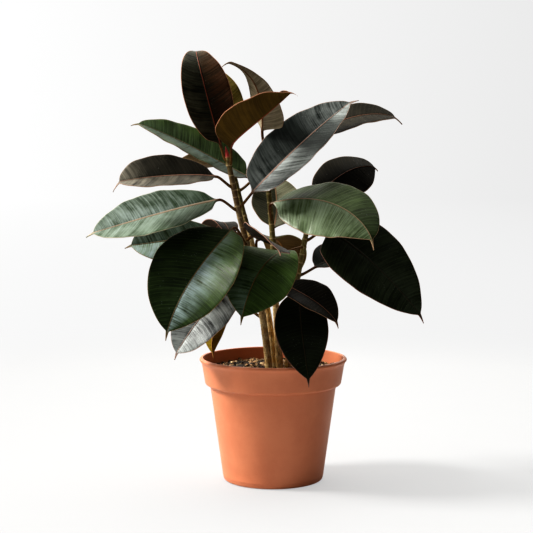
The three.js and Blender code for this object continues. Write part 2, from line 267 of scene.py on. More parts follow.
def makeKeyLight():
    data = bpy.data.lights.new("keyLight", "AREA")
    data.shape = "RECTANGLE"
    data.size, data.size_y = studio["keySize"]
    data.energy = studio["keyPower"]
    data.color = studio["keyTint"]
    light = addObject("keyLight", data)
    light.location = studio["keyPlace"]
    towards = Vector(studio["aim"]) - Vector(studio["keyPlace"])
    light.rotation_euler = towards.to_track_quat("-Z", "Y").to_euler()


def makeRoom():
    # the camera sees an even white wall; the object is lit by a room that is dark in front and to the right
    world = bpy.data.worlds.new("studioRoom")
    bpy.context.scene.world = world
    world.use_nodes = True
    tree = world.node_tree
    direction = addNode(tree, "ShaderNodeTexCoord").outputs["Generated"]
    room = studio["roomTone"]
    for axis, start, full, strength in studio["roomLights"]:
        facing = vectorNode(tree, "DOT_PRODUCT", {0: direction, 1: Vector(axis).normalized()}, "Value")
        room = plus(tree, room, rangeNode(tree, facing, start, full, 0.0, strength))
    seen = addNode(tree, "ShaderNodeLightPath").outputs["Is Camera Ray"]
    across = axisOf(tree, direction, "X")
    wall = rangeNode(tree, across, *studio["wallSpan"], *studio["wallTone"], smoothly=False)
    strength = addNode(tree, "ShaderNodeMix", {0: seen, 2: room, 3: wall}, data_type="FLOAT")
    feedAll(tree, tree.nodes["Background"], {
        "Strength": strength.outputs[0], "Color": mixColour(tree, seen, studio["roomTint"], (1, 1, 1))})
    bpy.context.scene.view_settings.view_transform = "Standard"
    bpy.context.scene.view_settings.look = "High Contrast"


def makeFloor():
    half, below = studio["floorHalf"], studio["floorBelow"]
    corners = [(-half, -half, below), (half, -half, below), (half, half, below), (-half, half, below)]
    floor = meshObject("floor", corners, [(0, 1, 2, 3)])
    material, tree, shader = newMaterial("paleFloor")
    place = objectPlace(tree)
    across = axisOf(tree, place, "X")
    speckle = noiseNode(tree, place, 14.0, 3.0)
    seen = addNode(tree, "ShaderNodeLightPath").outputs["Is Camera Ray"]
    seenTone = mixColour(tree, speckle, *([c * t for t in studio["floorTint"]] for c in studio["floorSeen"]))
    evened = rangeNode(tree, across, *studio["floorEven"], smoothly=False)
    seenTone = mixColour(tree, 1.0, seenTone, xyz(tree, evened, evened, evened), "MULTIPLY")
    litTone = mixColour(tree, speckle, *([c, c, c] for c in studio["floorLit"]))
    feedAll(tree, shader, {"Base Color": mixColour(tree, seen, litTone, seenTone), "Roughness": 0.8,
                           "Specular IOR Level": 0.1})
    # far from the object the floor turns into the wall, as a paper sweep does
    wallTone = rangeNode(tree, across, *studio["wallWidth"], *studio["wallTone"], smoothly=False)
    wall = addNode(tree, "ShaderNodeEmission", {"Strength": times(tree, seen, wallTone)})
    distance = vectorNode(tree, "LENGTH", {0: place}, "Value")
    far = mathNode(tree, "MAXIMUM", times(tree, seen, studio["floorHaze"]),
                   rangeNode(tree, distance, *studio["floorFade"]))
    sweep = addNode(tree, "ShaderNodeMixShader", {0: far, 1: shader.outputs[0], 2: wall.outputs[0]})
    feed(tree, tree.nodes["Material Output"].inputs["Surface"], sweep.outputs[0])
    floor.data.materials.append(material)


makeCamera()
makeKeyLight()
makeRoom()
makeFloor()
print("camera, light and floor made")


# The axes and radii repeat those of the solids, in millimetres.
# Gold says how golden the bark is at the foot and at the top: partly the bark's own tan and partly painted
# sunlight on a foot that stands in shade.

stems = [
    {"name": "stem_1", "foot": 4.8, "top": 3.1, "greenFrom": 0.8, "bud": 1.0, "goldAndLight": (0.8, 0.0),
     "axis": [(-3, -7, 118), (-10, -8, 187), (-16, -9, 226), (-31, -16, 296), (-43, -22, 344),
              (-57, -30, 414), (-60, -31, 430)]},
    {"name": "stem_2", "foot": 4.4, "top": 2.9, "greenFrom": 0.5, "bud": 0.6, "goldAndLight": (0.9, 0.6),
     "axis": [(6, 12, 118), (-3, 10, 191), (-8, 10, 222), (-27, 14, 303), (-41, 21, 354), (-60, 34, 432)]},
    {"name": "stem_3", "foot": 4.8, "top": 2.8, "greenFrom": 0.35, "bud": 0.6, "goldAndLight": (1.0, 0.9),
     "axis": [(11, -1, 118), (6, 1, 180), (-1, 8, 316), (-6, 12, 374), (-12, 18, 438)]},
    {"name": "stem_4", "foot": 4.6, "top": 3.0, "greenFrom": 0.3, "bud": 0.4, "goldAndLight": (0.7, 0.5),
     "axis": [(17, 12, 118), (23, 10, 193), (25, 9, 219), (32, 8, 264), (43, 8, 321), (50, 9, 367)]},
]
stemDetail = {
    "step": 0.9, "spanSamples": 60, "sides": 28, "nodeSwelling": 0.5, "nodeReach": 4.0, "greenFade": 0.25,
    "budLength": 16, "budTaper": 1.6, "budTip": 0.25, "budFade": 0.3,
    "ringSpacing": 11.0, "ringHeight": 0.11, "ringWidth": 0.09, "ringDrift": 1.6, "barkRelief": 0.32,
}


def between(a, b, ta, tb, t):
    return (tb - t) / (tb - ta) * a + (t - ta) / (tb - ta) * b


def lengthsAlong(points):
    return np.concatenate([[0], np.cumsum(np.linalg.norm(np.diff(points, axis=0), axis=1))])


def centripetalCurve(points, step):
    # a centripetal Catmull-Rom curve through the points, sampled at even steps of length
    points = [np.array(p, dtype=float) for p in points]
    padded = [2 * points[0] - points[1], *points, 2 * points[-1] - points[-2]]
    samples = []
    for p0, p1, p2, p3 in zip(padded, padded[1:], padded[2:], padded[3:]):
        t0 = 0.0
        t1 = t0 + np.linalg.norm(p1 - p0) ** 0.5
        t2 = t1 + np.linalg.norm(p2 - p1) ** 0.5
        t3 = t2 + np.linalg.norm(p3 - p2) ** 0.5
        for t in np.linspace(t1, t2, stemDetail["spanSamples"], endpoint=False):
            a1 = between(p0, p1, t0, t1, t)
            a2 = between(p1, p2, t1, t2, t)
            a3 = between(p2, p3, t2, t3, t)
            b1 = between(a1, a2, t0, t2, t)
            b2 = between(a2, a3, t1, t3, t)
            samples.append(between(b1, b2, t1, t2, t))
    samples.append(points[-1])
    samples = np.array(samples)
    lengths = lengthsAlong(samples)
    even = np.linspace(0, lengths[-1], max(2, round(lengths[-1] / step)))
    return np.stack([np.interp(even, lengths, samples[:, k]) for k in range(3)], axis=1), even / lengths[-1]


def stemPath(stem):
    if "path" not in stem:
        stem["path"], stem["shares"] = centripetalCurve(stem["axis"], stemDetail["step"])
    return stem["path"], stem["shares"]


def stemAt(stem, height):
    # the axis point, its direction and the stem's radius at a height
    path, shares = stemPath(stem)
    index = int(np.clip(np.searchsorted(path[:, 2], height), 1, len(path) - 2))
    along = unit(path[index + 1] - path[index - 1])
    return path[index], along, lerp(stem["foot"], stem["top"], shares[index])


def stemTree():
    tree, given = newTree("stemWithScars", {
        "Geometry": "Geometry", "Sides": "Int", "Ring Spacing": "Float", "Ring Height": "Float",
        "Ring Width": "Float", "Ring Drift": "Float", "Bark Relief": "Float", "Seed": "Float",
        "Material": "Material"})
    curve = addNode(tree, "GeometryNodeMeshToCurve", {"Mesh": given["Geometry"]})
    length = addNode(tree, "GeometryNodeSplineParameter").outputs["Length"]
    # scar rings at nearly even steps, each pushed about a little by noise
    drift = noiseNode(tree, xyz(tree, times(tree, length, 26.0), given["Seed"], 0.0), 1.0, 0.0)
    steps = mathNode(tree, "DIVIDE", length, given["Ring Spacing"])
    turns = plus(tree, steps, times(tree, drift, given["Ring Drift"]))
    away = mathNode(tree, "ABSOLUTE", mathNode(tree, "SUBTRACT", mathNode(tree, "FRACT", turns), 0.5))
    ring = rangeNode(tree, away, 0.0, given["Ring Width"], 1.0, 0.0)
    radius = addNode(tree, "GeometryNodeInputNamedAttribute", {"Name": "stemRadius"}, data_type="FLOAT")
    wide = times(tree, radius.outputs["Attribute"], plus(tree, 1.0, times(tree, ring, given["Ring Height"])))
    marked = addNode(tree, "GeometryNodeStoreNamedAttribute",
                     {"Geometry": curve.outputs["Curve"], "Name": "scar", "Value": ring},
                     data_type="FLOAT", domain="POINT")
    circle = addNode(tree, "GeometryNodeCurvePrimitiveCircle", {"Resolution": given["Sides"], "Radius": 1.0})
    tube = addNode(tree, "GeometryNodeCurveToMesh", {
        "Curve": marked.outputs["Geometry"], "Profile Curve": circle.outputs["Curve"], "Scale": wide,
        "Fill Caps": True})
    # fine bark: long cracks and small lumps along the stem
    place = addNode(tree, "GeometryNodeInputPosition").outputs[0]
    long = vectorNode(tree, "MULTIPLY", {0: place, 1: (900, 900, 260)})
    lumps = mathNode(tree, "SUBTRACT", noiseNode(tree, long, 1.0, 3.0, 0.6), 0.5)
    normal = addNode(tree, "GeometryNodeInputNormal").outputs["Normal"]
    push = vectorNode(tree, "SCALE", {0: normal, "Scale": times(tree, lumps, given["Bark Relief"])})
    moved = addNode(tree, "GeometryNodeSetPosition", {"Geometry": tube.outputs["Mesh"], "Offset": push})
    endTree(tree, moved.outputs[0], given["Material"])
    return tree


def barkGroup():
    group, given, result = newGroup("barkPattern", {"Scale": 1.0}, ["Cracks", "Patches", "Height"])
    place = objectPlace(group)
    long = vectorNode(group, "MULTIPLY", {0: place, 1: (1.0, 1.0, 0.22)})
    scaled = vectorNode(group, "SCALE", {0: long, "Scale": given["Scale"]})
    cracks = noiseNode(group, scaled, 900.0, 4.0, 0.65)
    patches = noiseNode(group, place, 95.0, 2.0)
    feedAll(group, result, {"Cracks": rangeNode(group, cracks, 0.42, 0.62),
                            "Patches": rangeNode(group, patches, 0.35, 0.65), "Height": cracks})
    return group


# dark and light tones of the skin, the golden ones partly painted sunlight, marks on it with the share that
# each covers, and the bud
barkColours = {
    "brown": ((0.055, 0.025, 0.009), (0.115, 0.058, 0.022)),
    "goldenLit": ((0.70, 0.45, 0.17), (0.95, 0.76, 0.40)),
    "green": ((0.13, 0.11, 0.024), (0.22, 0.18, 0.045)),
    "crack": (0.6, (0.060, 0.028, 0.010)), "scar": (0.55, (0.70, 0.54, 0.30)), "bud": (0.40, 0.045, 0.040),
}


def stemMaterial(pattern):
    material, tree, shader = newMaterial("stemBark")
    marks = useGroup(tree, pattern, {"Scale": 1.0})
    brown, goldenLit, green = (mixColour(tree, marks["Patches"], *barkColours[name])
                            for name in ("brown", "goldenLit", "green"))
    # the golden skin is partly painted sunlight, laid on most at the foot
    skin = mixColour(tree, attribute(tree, "goldAndLight"), brown, goldenLit)
    skin = mixColour(tree, attribute(tree, "youth"), skin, green)
    for mark, (share, tone) in ((marks["Cracks"], barkColours["crack"]),
                                (attribute(tree, "scar"), barkColours["scar"])):
        skin = mixColour(tree, times(tree, mark, share), skin, tone)
    feedAll(tree, shader, {
        "Base Color": mixColour(tree, attribute(tree, "bud"), skin, barkColours["bud"]),
        "Roughness": rangeNode(tree, marks["Cracks"], 0.0, 1.0, 0.48, 0.75),
        "Normal": bump(tree, marks["Height"], 0.5, 0.0004)})
    return material


def makeStems():
    detail = stemDetail
    tree = stemTree()
    material = stemMaterial(barkGroup())
    for seed, stem in enumerate(stems):
        path, shares = stemPath(stem)
        length = detail["step"] * len(path)
        budStart = 1 - detail["budLength"] / length
        towardsTip = np.clip((shares - budStart) / (1 - budStart), 0, 1)
        radii = lerp(stem["foot"], stem["top"], shares)
        for leaf in leaves:
            if leaf["stem"] == seed:
                away = np.abs(path[:, 2] - leaf["height"])
                radii += detail["nodeSwelling"] * (1 - smooth(0, detail["nodeReach"], away))
        # the bud is a slim pointed sheath
        radii = radii * (1 - towardsTip ** detail["budTaper"]) + detail["budTip"] * towardsTip
        source = meshObject(stem["name"] + "_path", path * mm, [])
        source.data.edges.add(len(path) - 1)
        source.data.edges.foreach_set("vertices", [i + k for i in range(len(path) - 1) for k in (0, 1)])
        pointValues(source, "stemRadius", radii * mm)
        greenFrom = stem["greenFrom"]
        pointValues(source, "youth", smooth(greenFrom, greenFrom + detail["greenFade"], shares))
        pointValues(source, "bud", stem["bud"] * smooth(0.0, detail["budFade"], towardsTip))
        pointValues(source, "goldAndLight", lerp(*stem["goldAndLight"], shares))
        piece = bakeNodes(source, tree, stem["name"] + "_bark", {
            "Sides": detail["sides"], "Ring Spacing": detail["ringSpacing"] * mm,
            "Ring Height": detail["ringHeight"], "Ring Width": detail["ringWidth"],
            "Ring Drift": detail["ringDrift"], "Bark Relief": detail["barkRelief"] * mm,
            "Seed": float(seed * 7), "Material": material})
        piece.data.polygons.foreach_set("use_smooth", [True] * len(piece.data.polygons))
        finishPiece(piece, None, "stem_bark", stem["name"])
    print("stems made")


# Places, widths and folds repeat those of the solids, in millimetres and degrees.
# The looks are the scene's own; their paler tone and waxy film are partly the leaf's colour and partly
# painted light: sunlit patches, lit halves and sheen. A pair is for the left and the right half of the blade,
# seen from its stalk.

leaves = [
    # the four leaves at the very top
    {"name": "leaf_01", "stem": 0, "height": 413, "finish": "burgundy",
     "pale": (0.12, (0.15, 0.35, 0.4, 0.25)), "gloss": (0.15, 0.08),
     "bloom": ((0.1, 0.3, 0.35, 0.6), (0.0, 0.0, 0.05, 0.3)), "atMargin": {"pale": 3.0, "bloom": 1.6},
     "rib": [(-66, -32, 431), (-80, -44, 478), (-99, -36, 556), (-98, 8, 549)],
     "face": [(0.1, -1, 0.1), (0, -0.3, 1)], "width": 31.5, "fold": (8, 8), "curl": 6,
     "drip": (0, 2, -4)},
    {"name": "leaf_02", "stem": 1, "height": 415, "finish": "young",
     "gloss": (0.2, 0.2),
     "rib": [(-60, 29, 436), (-61, 20, 474), (-76, 26, 517), (-80, 44, 535)],
     "face": [(0.2, -1, 0), (0.1, -0.8, 0.5)], "width": 29, "fold": (10, 10), "curl": 4,
     "drip": (0, 2, -4)},
    {"name": "leaf_03", "stem": 0, "height": 407, "finish": "burgundy",
     "pale": (0.5, 0.5), "gloss": (0.2, 0.2),
     "rib": [(-53, -38, 428), (-51, -88, 440), (-12, -104, 462), (25, -104, 499)],
     "face": [(-0.3, 0.3, 0.9), (-0.2, 0.3, 0.9)], "width": 35, "fold": (38, 40), "curl": 5,
     "drip": (4, 0, -9), "taper": (0.6, 0.7), "tipFold": (110, -10)},
    {"name": "leaf_04", "stem": 2, "height": 421, "finish": "greyGreen",
     "pale": (0.4, 0.4), "gloss": (0.2, 0.2),
     "rib": [(-14, 0, 449), (-12, -17, 482), (-17, -45, 526), (-61, -64, 533)],
     "face": [(0.6, 0.8, 0), (0, 0.5, 0.85)], "width": 28, "fold": (18, 28), "drip": (-2, 0, -6),
     "taper": (0.3, 1.6)},
    # the upper tier: two to the left, two to the right and one hanging behind
    {"name": "leaf_05", "stem": 2, "height": 376, "finish": "deepGreen",
     "pale": ((0.15, 0.25, 0.3, 0.3), 0.6), "gloss": (0.3, 0.2),
     "bloom": ((0.4, 0.8, 0.6, 0.5), (0.1, 0.2)), "atMargin": {"bloom": 0.0},
     "rib": [(-30, 9, 389), (-75, 6, 412), (-132, 3, 448), (-179, -4, 460)],
     "face": [(0.1, -0.55, 0.8), (0.1, -0.55, 0.8)], "width": 32.5, "fold": (20, 15),
     "drip": (-2, 0, -4), "taper": (0.45, 0.6)},
    {"name": "leaf_06", "stem": 1, "height": 392, "finish": "deepGreen",
     "pale": (0.2, 0.2), "gloss": (0.1, 0.1),
     "rib": [(-56, 42, 402), (-73, 62, 412), (-103, 84, 411), (-136, 96, 384)],
     "face": [(0.1, 0.2, 1), (-0.2, 0.5, 0.8)], "width": 30, "fold": (8, 8), "curl": 4,
     "drip": (0, 0, -4)},
    {"name": "leaf_07", "stem": 0, "height": 379, "finish": "brownBlack",
     "pale": (0.25, 0.06), "gloss": (0.25, 0.08),
     "bloom": ((0.2, 0.25, 0.4, 0.9), (0.0, 0.02, 0.05, 0.9)), "atMargin": {"bloom": 1.2},
     "slant": (0.5, 0.2),
     "rib": [(-71, -36, 392), (-110, -54, 397), (-165, -70, 392), (-195, -74, 385)],
     "face": [(0, -0.62, 0.8), (0, -0.62, 0.8)], "width": 35, "fold": (20, 13), "drip": (-2, 0, -11),
     "taper": (0.7, 0.55)},
    {"name": "leaf_08", "stem": 0, "height": 353, "finish": "blueBlack",
     "pale": ((0.15, 0.05, 0.02, 0.02, 0.35, 0.45), (0.4, 0.5, 0.5, 0.45, 0.05, 0.05, 0.05, 0.8, 0.7)),
     "gloss": (0.03, (0.45, 0.5, 0.45, 0.3, 0.06, 0.03, 0.06, 0.45, 0.4)),
     "bloom": ((0.35, 0.3, 0.2, 0.1, 0.02, 0.6, 0.8, 0.7), (0.5, 0.7, 0.8, 0.75, 0.1, 0.0, 0.1, 1.0, 0.9)),
     "slant": (0.2, 0.5),
     "rib": [(-28, -28, 370), (5, -20, 405), (52, -2, 452), (105, 6, 490)],
     "face": [(-0.3, -0.75, 0.55), (-0.3, -0.75, 0.55)], "width": 41, "fold": (15, 20),
     "drip": (4, 0, -2), "taper": (0.55, 0.7)},
    {"name": "leaf_09", "stem": 1, "height": 372, "finish": "brownBlack",
     "pale": (0.12, 0.12), "gloss": (0.02, 0.02), "bloom": (0.04, 0.08),
     "rib": [(-1, 24, 412), (58, 26, 459), (130, 34, 485), (166, 40, 463)],
     "face": [(-0.3, -0.45, 0.85), (0.2, -0.45, 0.85)], "width": 33, "fold": (8, 8), "drip": (2, 0, -5),
     "taper": (0.7, 0.6)},
    # the middle tier on the left
    {"name": "leaf_10", "stem": 0, "height": 350, "finish": "paleGreen",
     "pale": (0.55, 0.25), "gloss": (0.35, 0.35),
     "bloom": ((0.35, 0.5, 0.55, 0.65), (0.2, 0.5, 0.75, 0.75, 0.45)), "slant": (0.8, 0.1),
     "rib": [(-68, -34, 363), (-116, -48, 355), (-177, -62, 337), (-230, -70, 321)],
     "face": [(0, -0.6, 0.8), (-0.1, -0.6, 0.8)], "width": 39, "fold": (8, 8), "drip": (-1, 0, -3),
     "taper": (0.7, 0.65)},
    {"name": "leaf_11", "stem": 1, "height": 312, "finish": "deepGreen",
     "pale": (0.8, 0.12), "gloss": (0.5, 0.2), "bloom": ((0.7, 1.0), (0.2, 0.35)),
     "atMargin": {"bloom": 1.0},
     "rib": [(-61, 4, 322), (-100, -10, 315), (-145, -20, 308), (-186, -26, 304)],
     "face": [(0, -0.7, 0.7), (0, -0.7, 0.7)], "width": 38, "fold": (10, 10), "drip": (-2, 0, -3),
     "taper": (1.3, 0.75)},
    {"name": "leaf_12", "stem": 1, "height": 314, "finish": "greyBrown",
     "pale": (0.1, 0.1), "gloss": (0.05, 0.05),
     "rib": [(-56, 26, 314), (-62, 46, 336), (-77, 64, 341), (-86, 74, 286)],
     "face": [(0.1, 0.2, 1), (-0.4, 0.6, 0.6)], "width": 22, "fold": (6, 6), "curl": 4,
     "drip": (0, 0, -4)},
    {"name": "leaf_13", "stem": 0, "height": 307, "finish": "deepGreen",
     "pale": ((1.4, 1.35, 0.75, 0.25, 0.12), 0.18), "gloss": (0.15, 0.05),
     "bloom": ((0.3, 0.9, 1.5, 1.5, 1.4), (0.0, 0.05)), "atMargin": {"pale": 0.35, "bloom": -0.4},
     "slant": (0.05, 0.42),
     "rib": [(-50, -44, 328), (-81, -76, 296), (-117, -94, 256), (-132, -94, 197)],
     "face": [(-0.4, -0.75, 0.6), (-0.1, -0.95, 0.2)], "width": 57.5, "fold": (12, 12),
     "drip": (0, 0, -4)},
    {"name": "leaf_14", "stem": 0, "height": 249, "finish": "blueBlack",
     "pale": (0.05, 0.05), "gloss": (0.12, 0.04), "bloom": (1.1, 0.4), "atMargin": {"bloom": 0.8},
     "rib": [(-50, -22, 256), (-79, -48, 236), (-107, -62, 197), (-123, -66, 169)],
     "face": [(-0.4, -0.6, 0.6), (-0.4, -0.65, 0.55)], "width": 40, "fold": (0, 8), "drip": (0, 0, -4),
     "taper": (0.55, 0.65)},
    # the front, and the leaves close to the stems
    {"name": "leaf_15", "stem": 3, "height": 300, "finish": "deepGreen",
     "pale": ((1.0, 0.8, 0.5, 0.4), (1.5, 1.2, 0.6, 0.4)), "gloss": (0.02, (0.0, 0.05, 0.15, 0.25)),
     "bloom": (0.0, (0.0, 0.1, 0.35, 0.6)),
     "rib": [(18, -14, 297), (-7, -60, 297), (-29, -88, 270), (-40, -100, 217)],
     "face": [(-0.45, -0.4, 0.8), (0.3, -0.9, 0.2)], "width": 47, "fold": (2, 18), "drip": (0, 0, -4),
     "taper": (0.9, 0.8)},
    {"name": "leaf_16", "stem": 0, "height": 311, "finish": "greyBrown",
     "pale": (0.2, 0.2), "gloss": (0.2, 0.2),
     "rib": [(-27, -32, 317), (-13, -68, 321), (2, -106, 315), (8, -138, 304)],
     "face": [(0.55, 0.1, 0.8), (0.55, 0.0, 0.8)], "width": 32, "fold": (5, 5), "drip": (0, 0, -3)},
    {"name": "leaf_17", "stem": 1, "height": 294, "finish": "olive",
     "pale": (0.2, 0.2), "gloss": (0.1, 0.1),
     "rib": [(-21, 17, 308), (-1, 50, 318), (26, 72, 308), (15, 76, 241)],
     "face": [(0.3, 0.2, 0.9), (0.4, 0.8, 0.3)], "width": 34, "fold": (6, 6), "curl": 4,
     "drip": (0, 0, -4)},
    {"name": "leaf_18", "stem": 2, "height": 312, "finish": "greyGreen",
     "pale": (0.45, 0.8), "gloss": (0.0, 0.05), "bloom": (0.0, 0.4),
     "rib": [(0, 26, 323), (7, 60, 338), (6, 95, 366), (0, 118, 392)],
     "face": [(0, -0.5, 0.9), (0, -0.6, 0.8)], "width": 35, "fold": (18, 18), "drip": (0, 0, -3)},
    # the middle tier on the right
    {"name": "leaf_19", "stem": 2, "height": 335, "finish": "midGreen",
     "pale": ((0.05, 0.3, 1.0, 0.35, 0.1), (1.0, 1.0, 0.85, 0.7)), "gloss": (0.05, 0.45),
     "bloom": ((0.0, 0.05, 0.2, 0.05, 0.0), (0.8, 0.75, 0.6, 0.4)), "slant": (0.2, 0.1),
     "atMargin": {"pale": 0.8, "bloom": 0.4},
     "rib": [(-2, -10, 357), (56, -34, 376), (110, -76, 354), (122, -92, 310)],
     "face": [(-0.1, -0.35, 0.95), (0.4, -0.85, 0.35)], "width": 48, "fold": (-2, -28),
     "drip": (0, 0, -6), "taper": (0.6, 0.7)},
    {"name": "leaf_20", "stem": 3, "height": 357, "finish": "brownBlack",
     "pale": (0.05, 0.05), "gloss": (0.0, 0.0), "bloom": (0.0, 0.0),
     "rib": [(57, 14, 366), (78, 26, 388), (111, 44, 412), (138, 58, 400)],
     "face": [(0, -0.6, 0.8), (0, -0.6, 0.8)], "width": 37, "fold": (-5, -14), "drip": (0, 0, -3),
     "taper": (0.6, 0.5)},
    {"name": "leaf_21", "stem": 3, "height": 309, "finish": "blackGreen",
     "pale": (0.4, 0.4), "gloss": (0.22, 0.22), "bloom": ((0.0, 0.25), (0.0, 0.25)),
     "rib": [(68, 2, 323), (100, -22, 311), (150, -40, 264), (189, -44, 213)],
     "face": [(0.2, -0.9, 0.4), (0.2, -0.9, 0.3)], "width": 46, "fold": (6, 6), "drip": (0, 0, -5),
     "taper": (0.45, 0.75)},
    # the lowest leaves
    {"name": "leaf_22", "stem": 3, "height": 264, "finish": "blackGreen",
     "pale": (0.05, 0.05), "gloss": (0.0, 0.0), "bloom": (0.0, 0.0),
     "rib": [(53, 14, 273), (72, 34, 281), (99, 62, 291), (126, 84, 272)],
     "face": [(-0.1, -0.65, 0.8), (0.2, -0.2, 1)], "width": 34, "fold": (12, 12), "drip": (0, 0, -4),
     "taper": (0.9, 0.7)},
    {"name": "leaf_23", "stem": 2, "height": 248, "finish": "brownBlack",
     "pale": (0.1, 0.1), "gloss": (0.02, 0.02), "bloom": (0.0, 0.0),
     "rib": [(12, -14, 255), (36, -46, 246), (66, -72, 234), (80, -78, 210)],
     "face": [(0.2, -0.6, 0.7), (0.4, -0.7, 0.4)], "width": 28, "fold": (18, 18), "drip": (0, 0, -4)},
    {"name": "leaf_24", "stem": 3, "height": 240, "finish": "blackGreen",
     "pale": (0.15, 0.15), "gloss": (0.05, 0.05), "bloom": (0.0, 0.0),
     "rib": [(35, -22, 247), (30, -56, 216), (39, -96, 180), (43, -104, 141)],
     "face": [(0, -0.7, 0.7), (0, -1, 0.1)], "width": 33.5, "fold": (6, 6), "drip": (0, 0, -4)},
    {"name": "leaf_25", "stem": 0, "height": 213, "finish": "young",
     "pale": (0.5, 0.5), "gloss": (0.2, 0.2),
     "rib": [(-39, -2, 224), (-62, -4, 218), (-86, 0, 189), (-77, 6, 160)],
     "face": [(0.2, 0.7, 0.6), (0.4, 0.8, 0.2)], "width": 18, "fold": (8, 60), "drip": (0, 0, -4)},
]
leafForm = {
    "petioleRadius": 1.7, "marginThickness": 0.8, "midribThickness": 1.5, "midribDepth": 1.1,
    "dripTipLength": 0.05, "dripTipWidth": 2.6, "dripTipReach": 0.075, "dripTipEnd": 0.4,
    "dripHangLength": 0.07, "rootLength": 0.09, "foldTurn": 0.8, "petioleStiffness": (0.14, 0.24),
    "usualTaper": (0.7, 0.8), "stalkStep": 1.3, "leastRings": 10,
}
leafRelief = {
    "ribRidge": 0.5, "ribRidgeWidth": 1.1, "ribGroove": 0.28, "ribGrooveWidth": 2.6, "grooveSpread": 1.1,
    "ribTaper": 0.72, "keelSpread": 2.0, "veinSpacing": 5.2, "veinRidge": 0.22, "veinBend": 0.12,
    "veinWobble": 0.13, "veinUnder": 0.9, "wave": 0.66, "waveLength": 46.0, "marginRoll": 0.5,
    "rollWidth": 3.0, "edgeRound": 0.45, "footSink": 1.6, "footFlare": 0.55, "flareLength": 3.2,
    "stalkGroove": 0.25, "stalkGrooveSpread": 0.5,
}
# how a leaf looks on its two halves; a tuple holds values at even steps from the base to the tip. The pale
# tone and the waxy film partly paint sunlit patches and sheen onto the blade
usualLook = {"slant": (0.25, 0.25), "pale": (0.3, 0.3), "gloss": (0.3, 0.3), "bloom": (0.15, 0.15),
             "atMargin": {"pale": 1, "gloss": 1, "bloom": 0.5}}
halfAcross = np.array([0.012, 0.025, 0.04, 0.06, 0.09, 0.13, 0.18, 0.24, 0.31, 0.38, 0.46, 0.54, 0.62, 0.70,
                       0.77, 0.84, 0.89, 0.93, 0.96, 0.98, 0.992, 1.0])
acrossTop = np.concatenate([-halfAcross[::-1], [0.0], halfAcross])
bladeShares = np.concatenate([
    np.linspace(0, 0.09, 12, endpoint=False), np.linspace(0.09, 0.9, 104, endpoint=False),
    np.linspace(0.9, 1.0, 26)])


def bezier(points, t):
    p0, p1, p2, p3 = (np.array(p, dtype=float) for p in points)
    t = np.asarray(t)[:, None]
    place = (1 - t) ** 3 * p0 + 3 * (1 - t) ** 2 * t * p1 + 3 * (1 - t) * t * t * p2 + t ** 3 * p3
    slope = 3 * (1 - t) ** 2 * (p1 - p0) + 6 * (1 - t) * t * (p2 - p1) + 3 * t * t * (p3 - p2)
    return place, slope / np.linalg.norm(slope, axis=1, keepdims=True)


def evenShares(points, shares):
    # curve parameters at even steps of length
    t = np.linspace(0, 1, 801)
    place, _ = bezier(points, t)
    lengths = lengthsAlong(place)
    return np.interp(shares * lengths[-1], lengths, t), lengths[-1]


def bladeOutline(shares, taper):
    towardsBase, towardsTip = taper
    body = np.minimum(shares / (1 - leafForm["dripTipLength"]), 1)
    widest = towardsBase / (towardsBase + towardsTip)

    def outline(place):
        return place ** towardsBase * (1 - place) ** towardsTip
    return outline(body) / outline(widest)


def petiolePoints(leaf):
    centre, along, radius = stemAt(stems[leaf["stem"]], leaf["height"])
    base = np.array(leaf["rib"][0], dtype=float)
    outward = base - centre
    outward = unit(outward - along * outward.dot(along))
    foot = centre + outward * (radius + stemDetail["nodeSwelling"] - leafRelief["footSink"])
    reach = np.linalg.norm(base - foot)
    _, slope = bezier(leaf["rib"], [0.0])
    stiffness = leafForm["petioleStiffness"]
    return [foot, foot + outward * reach * stiffness[0], base - slope[0] * reach * stiffness[1], base]


def leafFrames(leaf, tangents, shares):
    first, second = (np.array(f, dtype=float) for f in leaf["face"])
    facing = lerp(first, second, shares[:, None])
    right = np.cross(tangents, facing)
    right /= np.linalg.norm(right, axis=1, keepdims=True)
    return right, np.cross(right, tangents)


